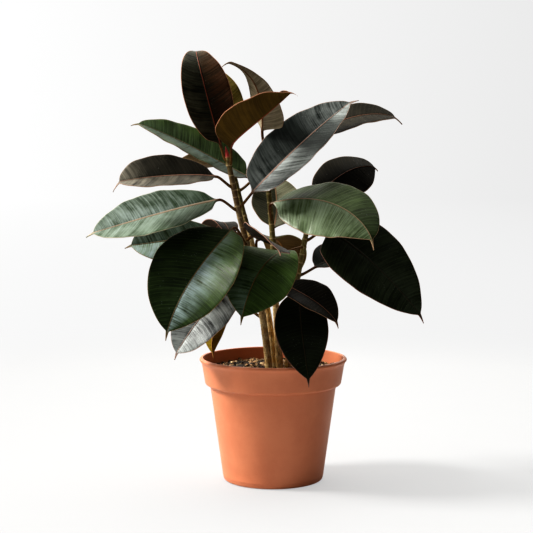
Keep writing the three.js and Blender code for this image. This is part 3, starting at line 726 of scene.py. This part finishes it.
def bladeSection(leaf, shares, length, seed):
    # across and up places of the upper and lower skins at every station
    form, relief = leafForm, leafRelief
    s = shares[:, None]
    u = acrossTop[None, :]
    side = np.abs(u)
    dripTip = form["dripTipWidth"] * np.minimum((1 - s) / form["dripTipReach"], 1) + form["dripTipEnd"]
    least = np.where(s > 0.5, dripTip, form["petioleRadius"])
    outline = bladeOutline(shares, leaf.get("taper", form["usualTaper"]))[:, None]
    half = np.hypot(leaf["width"] * outline, least)
    tipFold = leaf.get("tipFold", leaf["fold"])
    turned = smooth(form["foldTurn"], 1, s)
    fold = lerp(np.where(u < 0, *leaf["fold"]), np.where(u < 0, *tipFold), turned)
    lift = np.radians(fold + leaf.get("curl", 0) * side)
    away = half * side
    x = half * u * np.cos(lift)
    z = away * np.sin(lift)
    # slow waves that grow towards the margin
    wide = smooth(4, 20, half)
    wave = np.sin(s * length / relief["waveLength"] * 2 * np.pi + seed * 1.7 + (u > 0) * 2.1)
    wave = wave + 0.5 * np.sin(s * length / relief["waveLength"] * 3.7 * np.pi + seed * 3.1 + (u > 0) * 0.8)
    z = z + relief["wave"] * wave * side ** 2 * wide * smooth(0, 0.2, s) * smooth(0, 0.15, 1 - s)
    # lateral veins leave the midrib at an angle and bend forward at the margin
    slant = np.where(u < 0, *leaf.get("slant", usualLook["slant"]))
    phase = s * length - slant * away - relief["veinBend"] * half * side ** 3
    wobble = relief["veinWobble"] * np.sin(phase * 0.9 + seed)
    vein = np.abs((phase / relief["veinSpacing"] + wobble) % 1 - 0.5) * 2
    ridge = relief["veinRidge"] * (smooth(0.55, 1.0, vein) - 0.35) * wide * smooth(0.02, 0.12, side) \
        * smooth(0, 0.12, 1 - side)
    ribSlim = 1 - relief["ribTaper"] * s
    rib = relief["ribRidge"] * hump(away, relief["ribRidgeWidth"] * ribSlim) \
        - relief["ribGroove"] * hump(away - relief["ribGrooveWidth"] * ribSlim, relief["grooveSpread"])
    thick = lerp(form["midribThickness"], form["marginThickness"], side) / 2
    # the margin is rounded and rolls down a little
    edge = np.clip((half - away) / relief["edgeRound"], 0, 1)
    thick = thick * np.sqrt(1 - (1 - edge) ** 2 + 1e-9)
    z = z - relief["marginRoll"] * (1 - smooth(0, relief["rollWidth"], half - away)) * wide
    upper = z + thick + (ridge + rib * wide) * edge
    keel = form["midribDepth"] * (1 - s) * hump(away, relief["keelSpread"] * ribSlim)
    lower = z - thick - keel - ridge * relief["veinUnder"] * edge
    return x, upper, lower, away, half, phase


def alongBlade(values):
    # one value for the whole blade, or several at even steps from base to tip
    values = np.atleast_1d(values)
    return np.interp(bladeShares, np.linspace(0, 1, len(values)), values)[:, None]


def ringsAround(places, right, up, x, z):
    # a ring of points in the plane across a curve at each of its places
    return places[:, None] + right[:, None] * x[..., None] + up[:, None] * z[..., None]


def bothSkins(upper, lower):
    # a ring runs over the upper side and back under the lower one
    return np.concatenate([upper, lower[:, -2:0:-1]], axis=1)


def leafMesh(leaf, seed):
    form, relief = leafForm, leafRelief
    t, length = evenShares(leaf["rib"], bladeShares)
    place, tangent = bezier(leaf["rib"], t)
    hang = np.maximum(0, bladeShares - 1 + form["dripHangLength"]) / form["dripHangLength"]
    place = place + np.outer(hang ** 2, leaf["drip"])
    right, up = leafFrames(leaf, tangent, bladeShares)
    x, upper, lower, away, half, phase = bladeSection(leaf, bladeShares, length, seed)
    columns = len(acrossTop)
    ringX, ringZ = bothSkins(x, x), bothSkins(upper, lower)
    count = ringX.shape[1]
    angle = np.pi - np.arange(count) * 2 * np.pi / count
    roundX = form["petioleRadius"] * np.cos(angle)
    roundZ = form["petioleRadius"] * np.sin(angle)
    blend = (1 - smooth(0, form["rootLength"], bladeShares))[:, None]
    ringX = lerp(ringX, roundX[None, :], blend)
    ringZ = lerp(ringZ, roundZ[None, :], blend)
    bladeRings = ringsAround(place, right, up, ringX, ringZ)

    stalk = petiolePoints(leaf)
    stalkLength = np.linalg.norm(np.array(stalk[3]) - np.array(stalk[0]))
    steps = max(form["leastRings"], int(stalkLength / form["stalkStep"]))
    stalkShares = np.linspace(0, 1, steps, endpoint=False)
    stalkPlace, stalkTangent = bezier(stalk, stalkShares)
    stalkRight, stalkUp = leafFrames(leaf, stalkTangent, stalkShares * 0)
    flare = 1 + relief["footFlare"] * np.exp(-stalkShares * stalkLength / relief["flareLength"])
    groove = relief["stalkGroove"] * hump(angle - np.pi / 2, relief["stalkGrooveSpread"])[None, :] \
        * smooth(0.05, 0.4, stalkShares)[:, None]
    stalkX = flare[:, None] * roundX[None, :]
    stalkZ = flare[:, None] * roundZ[None, :] - groove * (1 - smooth(0.8, 1.0, stalkShares))[:, None]
    stalkRings = ringsAround(stalkPlace, stalkRight, stalkUp, stalkX, stalkZ)
    rings = np.concatenate([stalkRings, bladeRings])
    points = np.concatenate([rings.reshape(-1, 3), [stalkPlace[0]], [place[-1]]]) * mm
    piece = meshObject(leaf["name"] + "_blade", points, closedRings(len(rings), count))

    def ringValues(name, blade):
        values = np.concatenate([np.zeros((steps, count)), bothSkins(blade, blade)])
        pointValues(piece, name, np.concatenate([values.ravel(), [0.0], [values[-1].mean()]]))
    upperMask = np.concatenate([[0.5], np.ones(columns - 2), [0.5], np.zeros(count - columns)])
    pointValues(piece, "upperSide", np.concatenate([np.tile(upperMask, len(rings)), [0.5, 0.5]]))
    acrossBlade = np.sign(acrossTop)[None, :] * away
    ringValues("ribDistance", acrossBlade * mm)
    ringValues("marginDistance", (half - away) * mm)
    ringValues("veinPhase", phase * mm)
    ringValues("bladeShare", np.broadcast_to(bladeShares[:, None], x.shape))
    second = smooth(-1.0, 1.0, acrossBlade)
    atMargin = {**usualLook["atMargin"], **leaf.get("atMargin", {})}
    # per half and along the blade; the pale share and the waxy film also paint sunlit patches and sheen
    for name in ("pale", "gloss", "bloom"):
        left, right = (alongBlade(values) for values in leaf.get(name, usualLook[name]))
        ringValues(name, lerp(left, right, second) * lerp(1, atMargin[name], np.abs(acrossTop)[None, :]))
    stalkShare = np.concatenate([stalkShares, np.ones(len(bladeShares))])
    pointValues(piece, "stalkShare", np.concatenate([np.repeat(stalkShare, count), [0.0, 1.0]]))
    bladeness = np.concatenate([np.zeros(steps), smooth(0.0, 0.05, bladeShares)])
    pointValues(piece, "bladeMask", np.concatenate([np.repeat(bladeness, count), [0.0, 1.0]]))
    return piece


# upper colours: dark, pale and waxy, where the pale and waxy ones are partly painted sunlit patches,
# highlights and sheen; under colours: dark and pale; midrib and margin
leafFinishes = {
    "blackGreen": {
        "top": (0.0065, 0.0085, 0.0035), "topPaleAndLit": (0.024, 0.036, 0.012), "waxAndSheenColour": (0.12, 0.14, 0.12),
        "under": (0.055, 0.034, 0.012), "underPale": (0.10, 0.066, 0.022), "rib": (0.032, 0.022, 0.010),
        "margin": (0.24, 0.12, 0.09), "rough": 0.50, "specular": 0.06, "ribWidth": 0.0009},
    "deepGreen": {
        "top": (0.008, 0.017, 0.003), "topPaleAndLit": (0.064, 0.112, 0.026), "waxAndSheenColour": (0.23, 0.30, 0.30),
        "under": (0.075, 0.048, 0.018), "underPale": (0.13, 0.090, 0.034), "rib": (0.15, 0.085, 0.028),
        "margin": (0.20, 0.13, 0.065), "rough": 0.46, "specular": 0.12, "ribWidth": 0.0010},
    "midGreen": {
        "top": (0.012, 0.022, 0.004), "topPaleAndLit": (0.082, 0.130, 0.034), "waxAndSheenColour": (0.32, 0.39, 0.31),
        "under": (0.085, 0.060, 0.020), "underPale": (0.14, 0.10, 0.036), "rib": (0.34, 0.22, 0.13),
        "margin": (0.36, 0.24, 0.15), "rough": 0.46, "specular": 0.15, "ribWidth": 0.0012},
    "paleGreen": {
        "top": (0.012, 0.032, 0.011), "topPaleAndLit": (0.080, 0.132, 0.050), "waxAndSheenColour": (0.38, 0.45, 0.44),
        "under": (0.085, 0.060, 0.022), "underPale": (0.14, 0.10, 0.040), "rib": (0.36, 0.27, 0.19),
        "margin": (0.34, 0.32, 0.22), "rough": 0.46, "specular": 0.15, "ribWidth": 0.0022},
    "greyBrown": {
        "top": (0.012, 0.011, 0.008), "topPaleAndLit": (0.040, 0.036, 0.026), "waxAndSheenColour": (0.20, 0.19, 0.16),
        "under": (0.034, 0.026, 0.018), "underPale": (0.070, 0.054, 0.040), "rib": (0.16, 0.09, 0.06),
        "margin": (0.34, 0.20, 0.15), "rough": 0.50, "specular": 0.06, "ribWidth": 0.0009},
    "greyGreen": {
        "top": (0.012, 0.015, 0.006), "topPaleAndLit": (0.074, 0.072, 0.038), "waxAndSheenColour": (0.22, 0.23, 0.18),
        "under": (0.17, 0.14, 0.092), "underPale": (0.44, 0.38, 0.27), "rib": (0.20, 0.11, 0.06),
        "margin": (0.28, 0.18, 0.11), "rough": 0.50, "specular": 0.06, "ribWidth": 0.0011},
    "blueBlack": {
        "top": (0.007, 0.011, 0.009), "topPaleAndLit": (0.038, 0.050, 0.040), "waxAndSheenColour": (0.37, 0.40, 0.39),
        "under": (0.060, 0.044, 0.022), "underPale": (0.11, 0.080, 0.038), "rib": (0.26, 0.15, 0.11),
        "margin": (0.34, 0.23, 0.18), "rough": 0.44, "specular": 0.13, "ribWidth": 0.0012},
    "brownBlack": {
        "top": (0.010, 0.009, 0.005), "topPaleAndLit": (0.042, 0.034, 0.020), "waxAndSheenColour": (0.27, 0.25, 0.20),
        "under": (0.060, 0.034, 0.014), "underPale": (0.12, 0.070, 0.030), "rib": (0.24, 0.12, 0.08),
        "margin": (0.26, 0.16, 0.10), "rough": 0.50, "specular": 0.06, "ribWidth": 0.0010},
    "olive": {
        "top": (0.030, 0.030, 0.008), "topPaleAndLit": (0.060, 0.055, 0.016), "waxAndSheenColour": (0.16, 0.15, 0.08),
        "under": (0.075, 0.046, 0.014), "underPale": (0.14, 0.090, 0.030), "rib": (0.28, 0.15, 0.05),
        "margin": (0.26, 0.24, 0.06), "rough": 0.52, "specular": 0.10, "ribWidth": 0.0010},
    "burgundy": {
        "top": (0.008, 0.010, 0.004), "topPaleAndLit": (0.055, 0.020, 0.005), "waxAndSheenColour": (0.14, 0.16, 0.11),
        "under": (0.062, 0.036, 0.006), "underPale": (0.12, 0.072, 0.014), "rib": (0.26, 0.07, 0.04),
        "margin": (0.44, 0.22, 0.13), "rough": 0.50, "specular": 0.10, "ribWidth": 0.0009},
    "young": {
        "top": (0.10, 0.078, 0.012), "topPaleAndLit": (0.19, 0.14, 0.026), "waxAndSheenColour": (0.26, 0.21, 0.08),
        "under": (0.20, 0.140, 0.012), "underPale": (0.32, 0.23, 0.026), "rib": (0.34, 0.17, 0.06),
        "margin": (0.46, 0.28, 0.13), "rough": 0.50, "specular": 0.12, "ribWidth": 0.0010},
}
stalkColours = {"foot": (0.12, 0.070, 0.018), "top": (0.085, 0.028, 0.014), "light": (0.26, 0.15, 0.055)}
leafPaint = {"streakDepth": 0.42, "bandDepth": 0.34, "cloudDepth": 0.40, "least": 0.22, "veinShare": 0.75,
             "speckShare": 0.45, "waxAndSheenBreaks": 1.1, "coatRoughness": 0.34, "reliefDepth": 0.0007}
# how fast the marks of a blade change from place to place, and where a noise starts and is full
leafMarks = {"streakStretch": 26.0, "bandStretch": 17.0, "cloudScale": 42.0, "speckScale": 330.0,
             "speckRarity": 0.60, "fade": (0.34, 0.66)}


def veinGroup():
    group, given, result = newGroup(
        "leafVeins", {"Vein Spacing": 0.0052, "Streak Width": 0.0019, "Band Width": 0.0085, "Seed": 0.0},
        ["Veins", "Streaks", "Bands", "Clouds", "Specks", "Height"])
    phase = attribute(group, "veinPhase")
    away = attribute(group, "ribDistance")
    place = objectPlace(group)

    def alongVeins(width, stretch, roughness):
        # narrow along the midrib, long across it
        narrow = mathNode(group, "DIVIDE", phase, given[width])
        vector = xyz(group, narrow, times(group, away, leafMarks[stretch]), given["Seed"])
        return noiseNode(group, vector, 1.0, 2.0, roughness)
    streaks = alongVeins("Streak Width", "streakStretch", 0.55)
    bands = alongVeins("Band Width", "bandStretch", 0.5)
    turns = mathNode(group, "DIVIDE", phase, given["Vein Spacing"])
    wobble = times(group, noiseNode(group, xyz(group, turns, given["Seed"], 0.0), 0.9, 1.0), 0.5)
    line = mathNode(group, "PINGPONG", plus(group, turns, wobble), 0.5)
    veins = rangeNode(group, line, 0.0, 0.09, 1.0, 0.0)
    fromRib = rangeNode(group, mathNode(group, "ABSOLUTE", away), 0.0, 0.004)
    clouds = noiseNode(group, place, leafMarks["cloudScale"], 4.0, 0.6)
    dots = addNode(group, "ShaderNodeTexVoronoi", {"Vector": place, "Scale": leafMarks["speckScale"]}).outputs
    specks = rangeNode(group, dots["Distance"], 0.05, 0.20, 1.0, 0.0)
    rarity = noiseNode(group, dots["Position"], 70.0, 0.0)
    rare = mathNode(group, "GREATER_THAN", rarity, leafMarks["speckRarity"])
    height = plus(group, times(group, streaks, 0.6), times(group, bands, 0.9))
    feedAll(group, result, {
        "Veins": times(group, veins, fromRib), "Streaks": rangeNode(group, streaks, *leafMarks["fade"]),
        "Bands": rangeNode(group, bands, *leafMarks["fade"]),
        "Clouds": rangeNode(group, clouds, *leafMarks["fade"]), "Specks": times(group, specks, rare),
        "Height": plus(group, height, times(group, veins, 0.3))})
    return group


def edgeGroup():
    group, given, result = newGroup("leafEdges", {"Margin Width": 0.0008, "Rib Width": 0.0011},
                                    ["Margin", "Upper Rib", "Under Rib"])
    slim = rangeNode(group, attribute(group, "bladeShare"), 0.0, 1.0, 1.0, 0.35, smoothly=False)
    away = mathNode(group, "ABSOLUTE", attribute(group, "ribDistance"))
    fromRib = mathNode(group, "DIVIDE", away, times(group, given["Rib Width"], slim))
    fromMargin = mathNode(group, "DIVIDE", attribute(group, "marginDistance"), given["Margin Width"])
    edge = rangeNode(group, fromMargin, 0.55, 1.25, 1.0, 0.0)
    feedAll(group, result, {"Margin": times(group, edge, attribute(group, "bladeMask")),
                            "Upper Rib": rangeNode(group, fromRib, 0.5, 1.15, 1.0, 0.0),
                            "Under Rib": rangeNode(group, fromRib, 1.2, 2.2, 1.0, 0.0)})
    return group


def swing(tree, value, depth):
    # a mask of 0 to 1 made a push of minus to plus half the depth
    return times(tree, mathNode(tree, "SUBTRACT", value, 0.5), depth)


def leafMaterial(name, veins, edges, seed):
    look, paint = leafFinishes[name], leafPaint
    material, tree, shader = newMaterial("leaf_" + name)
    marks = useGroup(tree, veins, {"Seed": float(seed * 3)})
    lines = useGroup(tree, edges, {"Rib Width": look["ribWidth"]})
    upperSide = rangeNode(tree, attribute(tree, "upperSide"), 0.35, 0.65)
    pattern = plus(tree, swing(tree, marks["Bands"], paint["bandDepth"]),
                   swing(tree, marks["Clouds"], paint["cloudDepth"]))
    pattern = plus(tree, swing(tree, marks["Streaks"], paint["streakDepth"]), pattern)
    # the pale share is partly the leaf's own lighter tone and partly painted light on sunlit patches and lit
    # halves
    pale = attribute(tree, "pale")
    shade = plus(tree, pale, times(tree, pattern, plus(tree, paint["least"], pale)), clamp=True)
    top = mixColour(tree, shade, look["top"], look["topPaleAndLit"])
    veinShare = times(tree, plus(tree, pale, 0.15), paint["veinShare"])
    top = mixColour(tree, times(tree, marks["Veins"], veinShare, clamp=True), top,
                    [1.7 * c + 0.006 for c in look["topPaleAndLit"]])
    # a waxy film, which is partly painted sheen and highlight, lies in broken bands along the veins
    broken = plus(tree, 0.5, times(tree, pattern, paint["waxAndSheenBreaks"]))
    top = mixColour(tree, times(tree, attribute(tree, "bloom"), broken, clamp=True), top, look["waxAndSheenColour"])
    top = mixColour(tree, times(tree, marks["Specks"], paint["speckShare"]), top,
                    [0.7 * c + 0.08 for c in look["waxAndSheenColour"]])
    top = mixColour(tree, lines["Upper Rib"], top, look["rib"])
    underShade = plus(tree, times(tree, pattern, 0.9), 0.5, clamp=True)
    under = mixColour(tree, underShade, look["under"], look["underPale"])
    under = mixColour(tree, times(tree, marks["Veins"], 0.3), under, [1.4 * c for c in look["underPale"]])
    under = mixColour(tree, lines["Under Rib"], under, look["rib"])
    blade = mixColour(tree, lines["Margin"], mixColour(tree, upperSide, under, top), look["margin"])
    stalkNoise = rangeNode(tree, noiseNode(tree, objectPlace(tree), 300.0, 3.0), 0.35, 0.7)
    stalk = mixColour(tree, attribute(tree, "stalkShare"), stalkColours["foot"], stalkColours["top"])
    stalk = mixColour(tree, times(tree, stalkNoise, 0.5), stalk, stalkColours["light"])
    rough = plus(tree, look["rough"], times(tree, marks["Streaks"], 0.08))
    underRough = times(tree, mathNode(tree, "SUBTRACT", 1.0, upperSide), 0.16)
    feedAll(tree, shader, {
        "Base Color": mixColour(tree, attribute(tree, "bladeMask"), stalk, blade),
        "Roughness": plus(tree, rough, underRough),
        "Coat Weight": times(tree, upperSide, attribute(tree, "gloss")),
        "Coat Roughness": paint["coatRoughness"], "Specular IOR Level": look["specular"],
        "Normal": bump(tree, marks["Height"], 0.6, paint["reliefDepth"])})
    return material


def makeLeaves():
    veins, edges = veinGroup(), edgeGroup()
    materials = {name: leafMaterial(name, veins, edges, i) for i, name in enumerate(leafFinishes)}
    for seed, leaf in enumerate(leaves):
        finishPiece(leafMesh(leaf, seed), materials[leaf["finish"]], "leaf", leaf["name"])
    print("leaves made")


pot = {
    "height": 159, "lip": 95, "base": 63.4, "step": 124, "bodyTop": 81.5, "collarFoot": 88, "collarTop": 92.4,
    "wall": 2.2, "floor": 2.4, "draft": 1.0, "lipBead": 2.3, "sides": 192,
    "drainHole": 4.5, "drainCircle": 42, "drainCount": 6,
    "dark": (0.49, 0.172, 0.082), "light": (0.53, 0.197, 0.097), "dust": (0.58, 0.23, 0.125),
    "scuff": (0.68, 0.38, 0.26),
}


def arc(centre, radius, start, end, count):
    angles = np.radians(np.linspace(start, end, count))
    return [(centre[0] + radius * math.cos(a), centre[1] + radius * math.sin(a)) for a in angles]


def bodyRadius(z):
    return lerp(pot["base"] + pot["draft"], pot["bodyTop"], z / pot["step"])


def innerRadius(z):
    outer = bodyRadius(z)
    if z >= pot["step"]:
        outer = lerp(pot["collarFoot"], pot["collarTop"], (z - pot["step"]) / (pot["height"] - pot["step"]))
    return outer - pot["wall"]


def potProfile():
    # from the middle of the underside up the outside, over the lip and down the inside
    bead, height, step = pot["lipBead"], pot["height"], pot["step"]
    outside = [(0, 0), (pot["base"] - 10, 0)]
    outside += arc((pot["base"] - 2.2, 3.4), 3.4, -90, -8, 7)
    outside += [(bodyRadius(6.2), 6.2), (bodyRadius(6.7) + 0.22, 6.8), (bodyRadius(7.4), 7.5)]
    outside += [(bodyRadius(z), z) for z in (20, 50, 80, 105, step - 3.5)]
    outside += arc((bodyRadius(step) + 1.4, step - 2.0), 1.6, 180, 100, 4)
    outside += arc((pot["collarFoot"] - 3.4, step + 3.4), 3.4, -90, -6, 7)
    outside += [(lerp(pot["collarFoot"], pot["collarTop"], share), lerp(step + 4, height - 5.6, share))
                for share in (0.3, 0.6, 0.9)]
    outside += arc((pot["lip"] - bead, height - bead - 0.3), bead, -62, 90, 12)
    outside += arc((innerRadius(height) + 1.2, height - 1.4), 1.4, 90, 178, 5)
    inside = [(innerRadius(z), z) for z in (height - 6, height - 14, step + 6)]
    inside += arc((innerRadius(step + 4) - 3.0, step + 4.2), 3.0, 0, -70, 5)
    inside += [(innerRadius(z), z) for z in (step - 3, 60, 8)]
    inside += arc((innerRadius(5) - 2.6, pot["floor"] + 2.6), 2.6, 0, -90, 5)
    return outside + inside + [(0, pot["floor"])]


def lathe(name, profile, sides):
    # turns a profile that starts and ends on the axis
    inner = profile[1:-1]
    angles = np.linspace(0, 2 * np.pi, sides, endpoint=False)
    points = [(r * math.cos(a), r * math.sin(a), z) for r, z in inner for a in angles]
    points += [(0, 0, profile[0][1]), (0, 0, profile[-1][1])]
    return meshObject(name, np.array(points) * mm, closedRings(len(inner), sides))


def potMaterial():
    material, tree, shader = newMaterial("terracottaPlastic")
    place = objectPlace(tree)
    mottle = rangeNode(tree, noiseNode(tree, place, 22.0, 3.0, 0.6), 0.35, 0.65)
    fine = rangeNode(tree, noiseNode(tree, place, 420.0, 3.0, 0.7), 0.3, 0.7)
    body = mixColour(tree, mottle, pot["dark"], pot["light"])
    body = mixColour(tree, times(tree, fine, 0.16), body, pot["dust"])
    # pale scuffs run round the pot, most of them near the foot
    low = rangeNode(tree, axisOf(tree, place, "Z"), 0.0, 0.02, 1.0, 0.25)
    around = vectorNode(tree, "MULTIPLY", {0: place, 1: (60, 60, 700)})
    scuffs = rangeNode(tree, noiseNode(tree, around, 1.0, 4.0, 0.7), 0.63, 0.76)
    body = mixColour(tree, times(tree, times(tree, scuffs, low), 0.5), body, pot["scuff"])
    grain = noiseNode(tree, place, 1500.0, 2.0, 0.6)
    feedAll(tree, shader, {
        "Base Color": body, "Roughness": rangeNode(tree, fine, 0.0, 1.0, 0.46, 0.56),
        "Specular IOR Level": 0.42, "Normal": bump(tree, grain, 0.25, 0.0002)})
    return material


def makePot():
    piece = lathe("pot_shell", potProfile(), pot["sides"])
    cutters = []
    for i in range(pot["drainCount"]):
        angle = (i + 0.5) * 2 * math.pi / pot["drainCount"]
        middle = (pot["drainCircle"] * mm * math.cos(angle), pot["drainCircle"] * mm * math.sin(angle), mm)
        bpy.ops.mesh.primitive_cylinder_add(
            vertices=40, radius=pot["drainHole"] * mm, depth=4 * pot["floor"] * mm, location=middle)
        cutters.append(bpy.context.object)
    for cutter in cutters:
        modifier = piece.modifiers.new("drain", "BOOLEAN")
        modifier.operation = "DIFFERENCE"
        modifier.object = cutter
    depsgraph = bpy.context.evaluated_depsgraph_get()
    mesh = bpy.data.meshes.new_from_object(piece.evaluated_get(depsgraph))
    piece.modifiers.clear()
    piece.data = mesh
    for cutter in cutters:
        bpy.data.objects.remove(cutter)
    finishPiece(piece, potMaterial(), "pot_plastic", "pot")
    print("pot made")


soil = {
    "height": 143, "relief": 2.2, "clearance": 0.45, "rings": 90, "sides": 220,
    "lumpRelief": 2.6, "edgeDrop": 1.2,
    "finish": "dampPeat", "dark": (0.008, 0.005, 0.003), "light": (0.035, 0.022, 0.013), "grain": 260.0,
}
crumbs = {
    "bark": {"count": 420, "size": 6.4, "flat": (1.35, 0.8, 0.42), "seed": 3, "finish": "barkChips",
             "dark": (0.070, 0.038, 0.018), "light": (0.46, 0.28, 0.13), "grain": 150.0},
    "peat": {"count": 1500, "size": 2.8, "flat": (1.0, 0.9, 0.75), "seed": 11, "finish": "peatCrumbs",
             "dark": (0.010, 0.006, 0.004), "light": (0.050, 0.031, 0.018), "grain": 300.0},
    "grain": {"count": 260, "size": 3.8, "flat": (1.1, 0.95, 0.8), "seed": 23, "finish": "paleGrains",
              "dark": (0.40, 0.28, 0.14), "light": (0.74, 0.58, 0.34), "grain": 200.0},
}


def valueNoise(x, y, seed):
    # smooth lumps from a few crossed waves with fixed directions
    total = np.zeros_like(x)
    for k in range(7):
        angle = seed * 1.3 + k * 2.399
        wave = 0.16 + 0.11 * k
        total += np.sin((x * math.cos(angle) + y * math.sin(angle)) * wave + seed * k + k * k) / (1 + 0.6 * k)
    return total / 2.6


def soilLevel(x, y):
    lumps = np.sin(x * 0.21 + 1) * np.cos(y * 0.17) + np.sin(x * 0.11 - y * 0.24)
    return soil["height"] + soil["relief"] * 0.5 * lumps


def soilMesh():
    bottom = pot["floor"] + 0.3
    step, sides = pot["step"], soil["sides"]

    def rim(z):
        return innerRadius(z) - soil["clearance"]
    angles = np.linspace(0, 2 * np.pi, sides, endpoint=False)
    rows = [(r, np.full(sides, z)) for r, z in (
        (rim(bottom) - 3, bottom), (rim(bottom + 3), bottom + 3), (rim(step - 2), step - 2),
        (rim(step - 2) + 1.3, step + 1.6), (rim(step + 5), step + 5))]
    top = rim(soil["height"])
    for ring in range(soil["rings"]):
        radius = top * (1 - ring / soil["rings"])
        x, y = radius * np.cos(angles), radius * np.sin(angles)
        level = soilLevel(x, y) + soil["lumpRelief"] * 0.5 * valueNoise(x, y, 2.0) \
            + 0.5 * valueNoise(x * 3.1, y * 3.1, 5.0) - soil["edgeDrop"] * (radius / top) ** 8
        rows.append((radius, level))
    points = [(r * math.cos(a), r * math.sin(a), z) for r, heights in rows for a, z in zip(angles, heights)]
    points += [(0, 0, bottom), (0, 0, float(soilLevel(0.0, 0.0)))]
    return meshObject("soil_body", np.array(points) * mm, closedRings(len(rows), sides))


def soilMaterial(look):
    material, tree, shader = newMaterial(look["finish"])
    place = objectPlace(tree)
    broad = rangeNode(tree, noiseNode(tree, place, look["grain"], 4.0, 0.65), 0.35, 0.68)
    fine = noiseNode(tree, place, look["grain"] * 6, 4.0, 0.7)
    feedAll(tree, shader, {"Base Color": mixColour(tree, broad, look["dark"], look["light"]),
                           "Roughness": rangeNode(tree, fine, 0.3, 0.7, 0.82, 0.98),
                           "Normal": bump(tree, fine, 0.8, 0.0012)})
    return material


def crumbTree():
    tree, given = newTree("crumbsOnSoil", {
        "Geometry": "Geometry", "Density": "Float", "Size": "Float", "Flatness": "Vector", "Seed": "Int",
        "Material": "Material"})
    points = addNode(tree, "GeometryNodeDistributePointsOnFaces", {
        "Mesh": given["Geometry"], "Density": given["Density"], "Seed": given["Seed"]})
    lump = addNode(tree, "GeometryNodeMeshUVSphere", {"Radius": 0.5, "Segments": 8, "Rings": 5})
    # each lump is knocked out of round by noise
    place = addNode(tree, "GeometryNodeInputPosition").outputs[0]
    dent = addNode(tree, "ShaderNodeTexNoise", {"Vector": place, "Scale": 2.4})
    offset = vectorNode(tree, "SUBTRACT", {0: dent.outputs["Color"], 1: (0.5, 0.5, 0.5)})
    dented = addNode(tree, "GeometryNodeSetPosition", {"Geometry": lump.outputs["Mesh"], "Offset": offset})
    flat = addNode(tree, "GeometryNodeTransform", {"Scale": given["Flatness"], "Geometry": dented.outputs[0]})

    def randomly(low, high):
        inputs = {"Min": low, "Max": high, "Seed": given["Seed"]}
        return addNode(tree, "FunctionNodeRandomValue", inputs, data_type="FLOAT_VECTOR").outputs["Value"]
    spin = randomly((-0.7, -0.7, 0.0), (0.7, 0.7, 6.28))
    grown = randomly((0.45, 0.45, 0.45), (1.25, 1.25, 1.25))
    size = vectorNode(tree, "SCALE", {0: grown, "Scale": given["Size"]})
    placed = addNode(tree, "GeometryNodeInstanceOnPoints", {
        "Points": points.outputs["Points"], "Instance": flat.outputs[0], "Rotation": spin, "Scale": size})
    endTree(tree, placed.outputs[0], given["Material"])
    return tree


def soilSurface(name):
    # the open top of the soil, where the crumbs are strewn
    count, sides = 24, 64
    top = innerRadius(soil["height"]) - 2.5
    points = []
    for ring in range(count):
        radius = top * (1 - ring / count)
        for i in range(sides):
            a = i * 2 * math.pi / sides
            x, y = radius * math.cos(a), radius * math.sin(a)
            points.append((x * mm, y * mm, float(soilLevel(x, y)) * mm))
    return meshObject(name, points, ringFaces(count, sides)), math.pi * (top * mm) ** 2


def makeSoil():
    finishPiece(soilMesh(), soilMaterial(soil), "potting_mix", "soil")
    tree = crumbTree()
    for name, look in crumbs.items():
        surface, area = soilSurface(name + "Surface")
        piece = bakeNodes(surface, tree, "soil_" + name, {
            "Density": look["count"] / area, "Size": look["size"] * mm, "Flatness": look["flat"],
            "Seed": look["seed"], "Material": soilMaterial(look)})
        finishPiece(piece, None, "potting_mix")
    print("soil made")


makeStems()
makeLeaves()
makePot()
makeSoil()
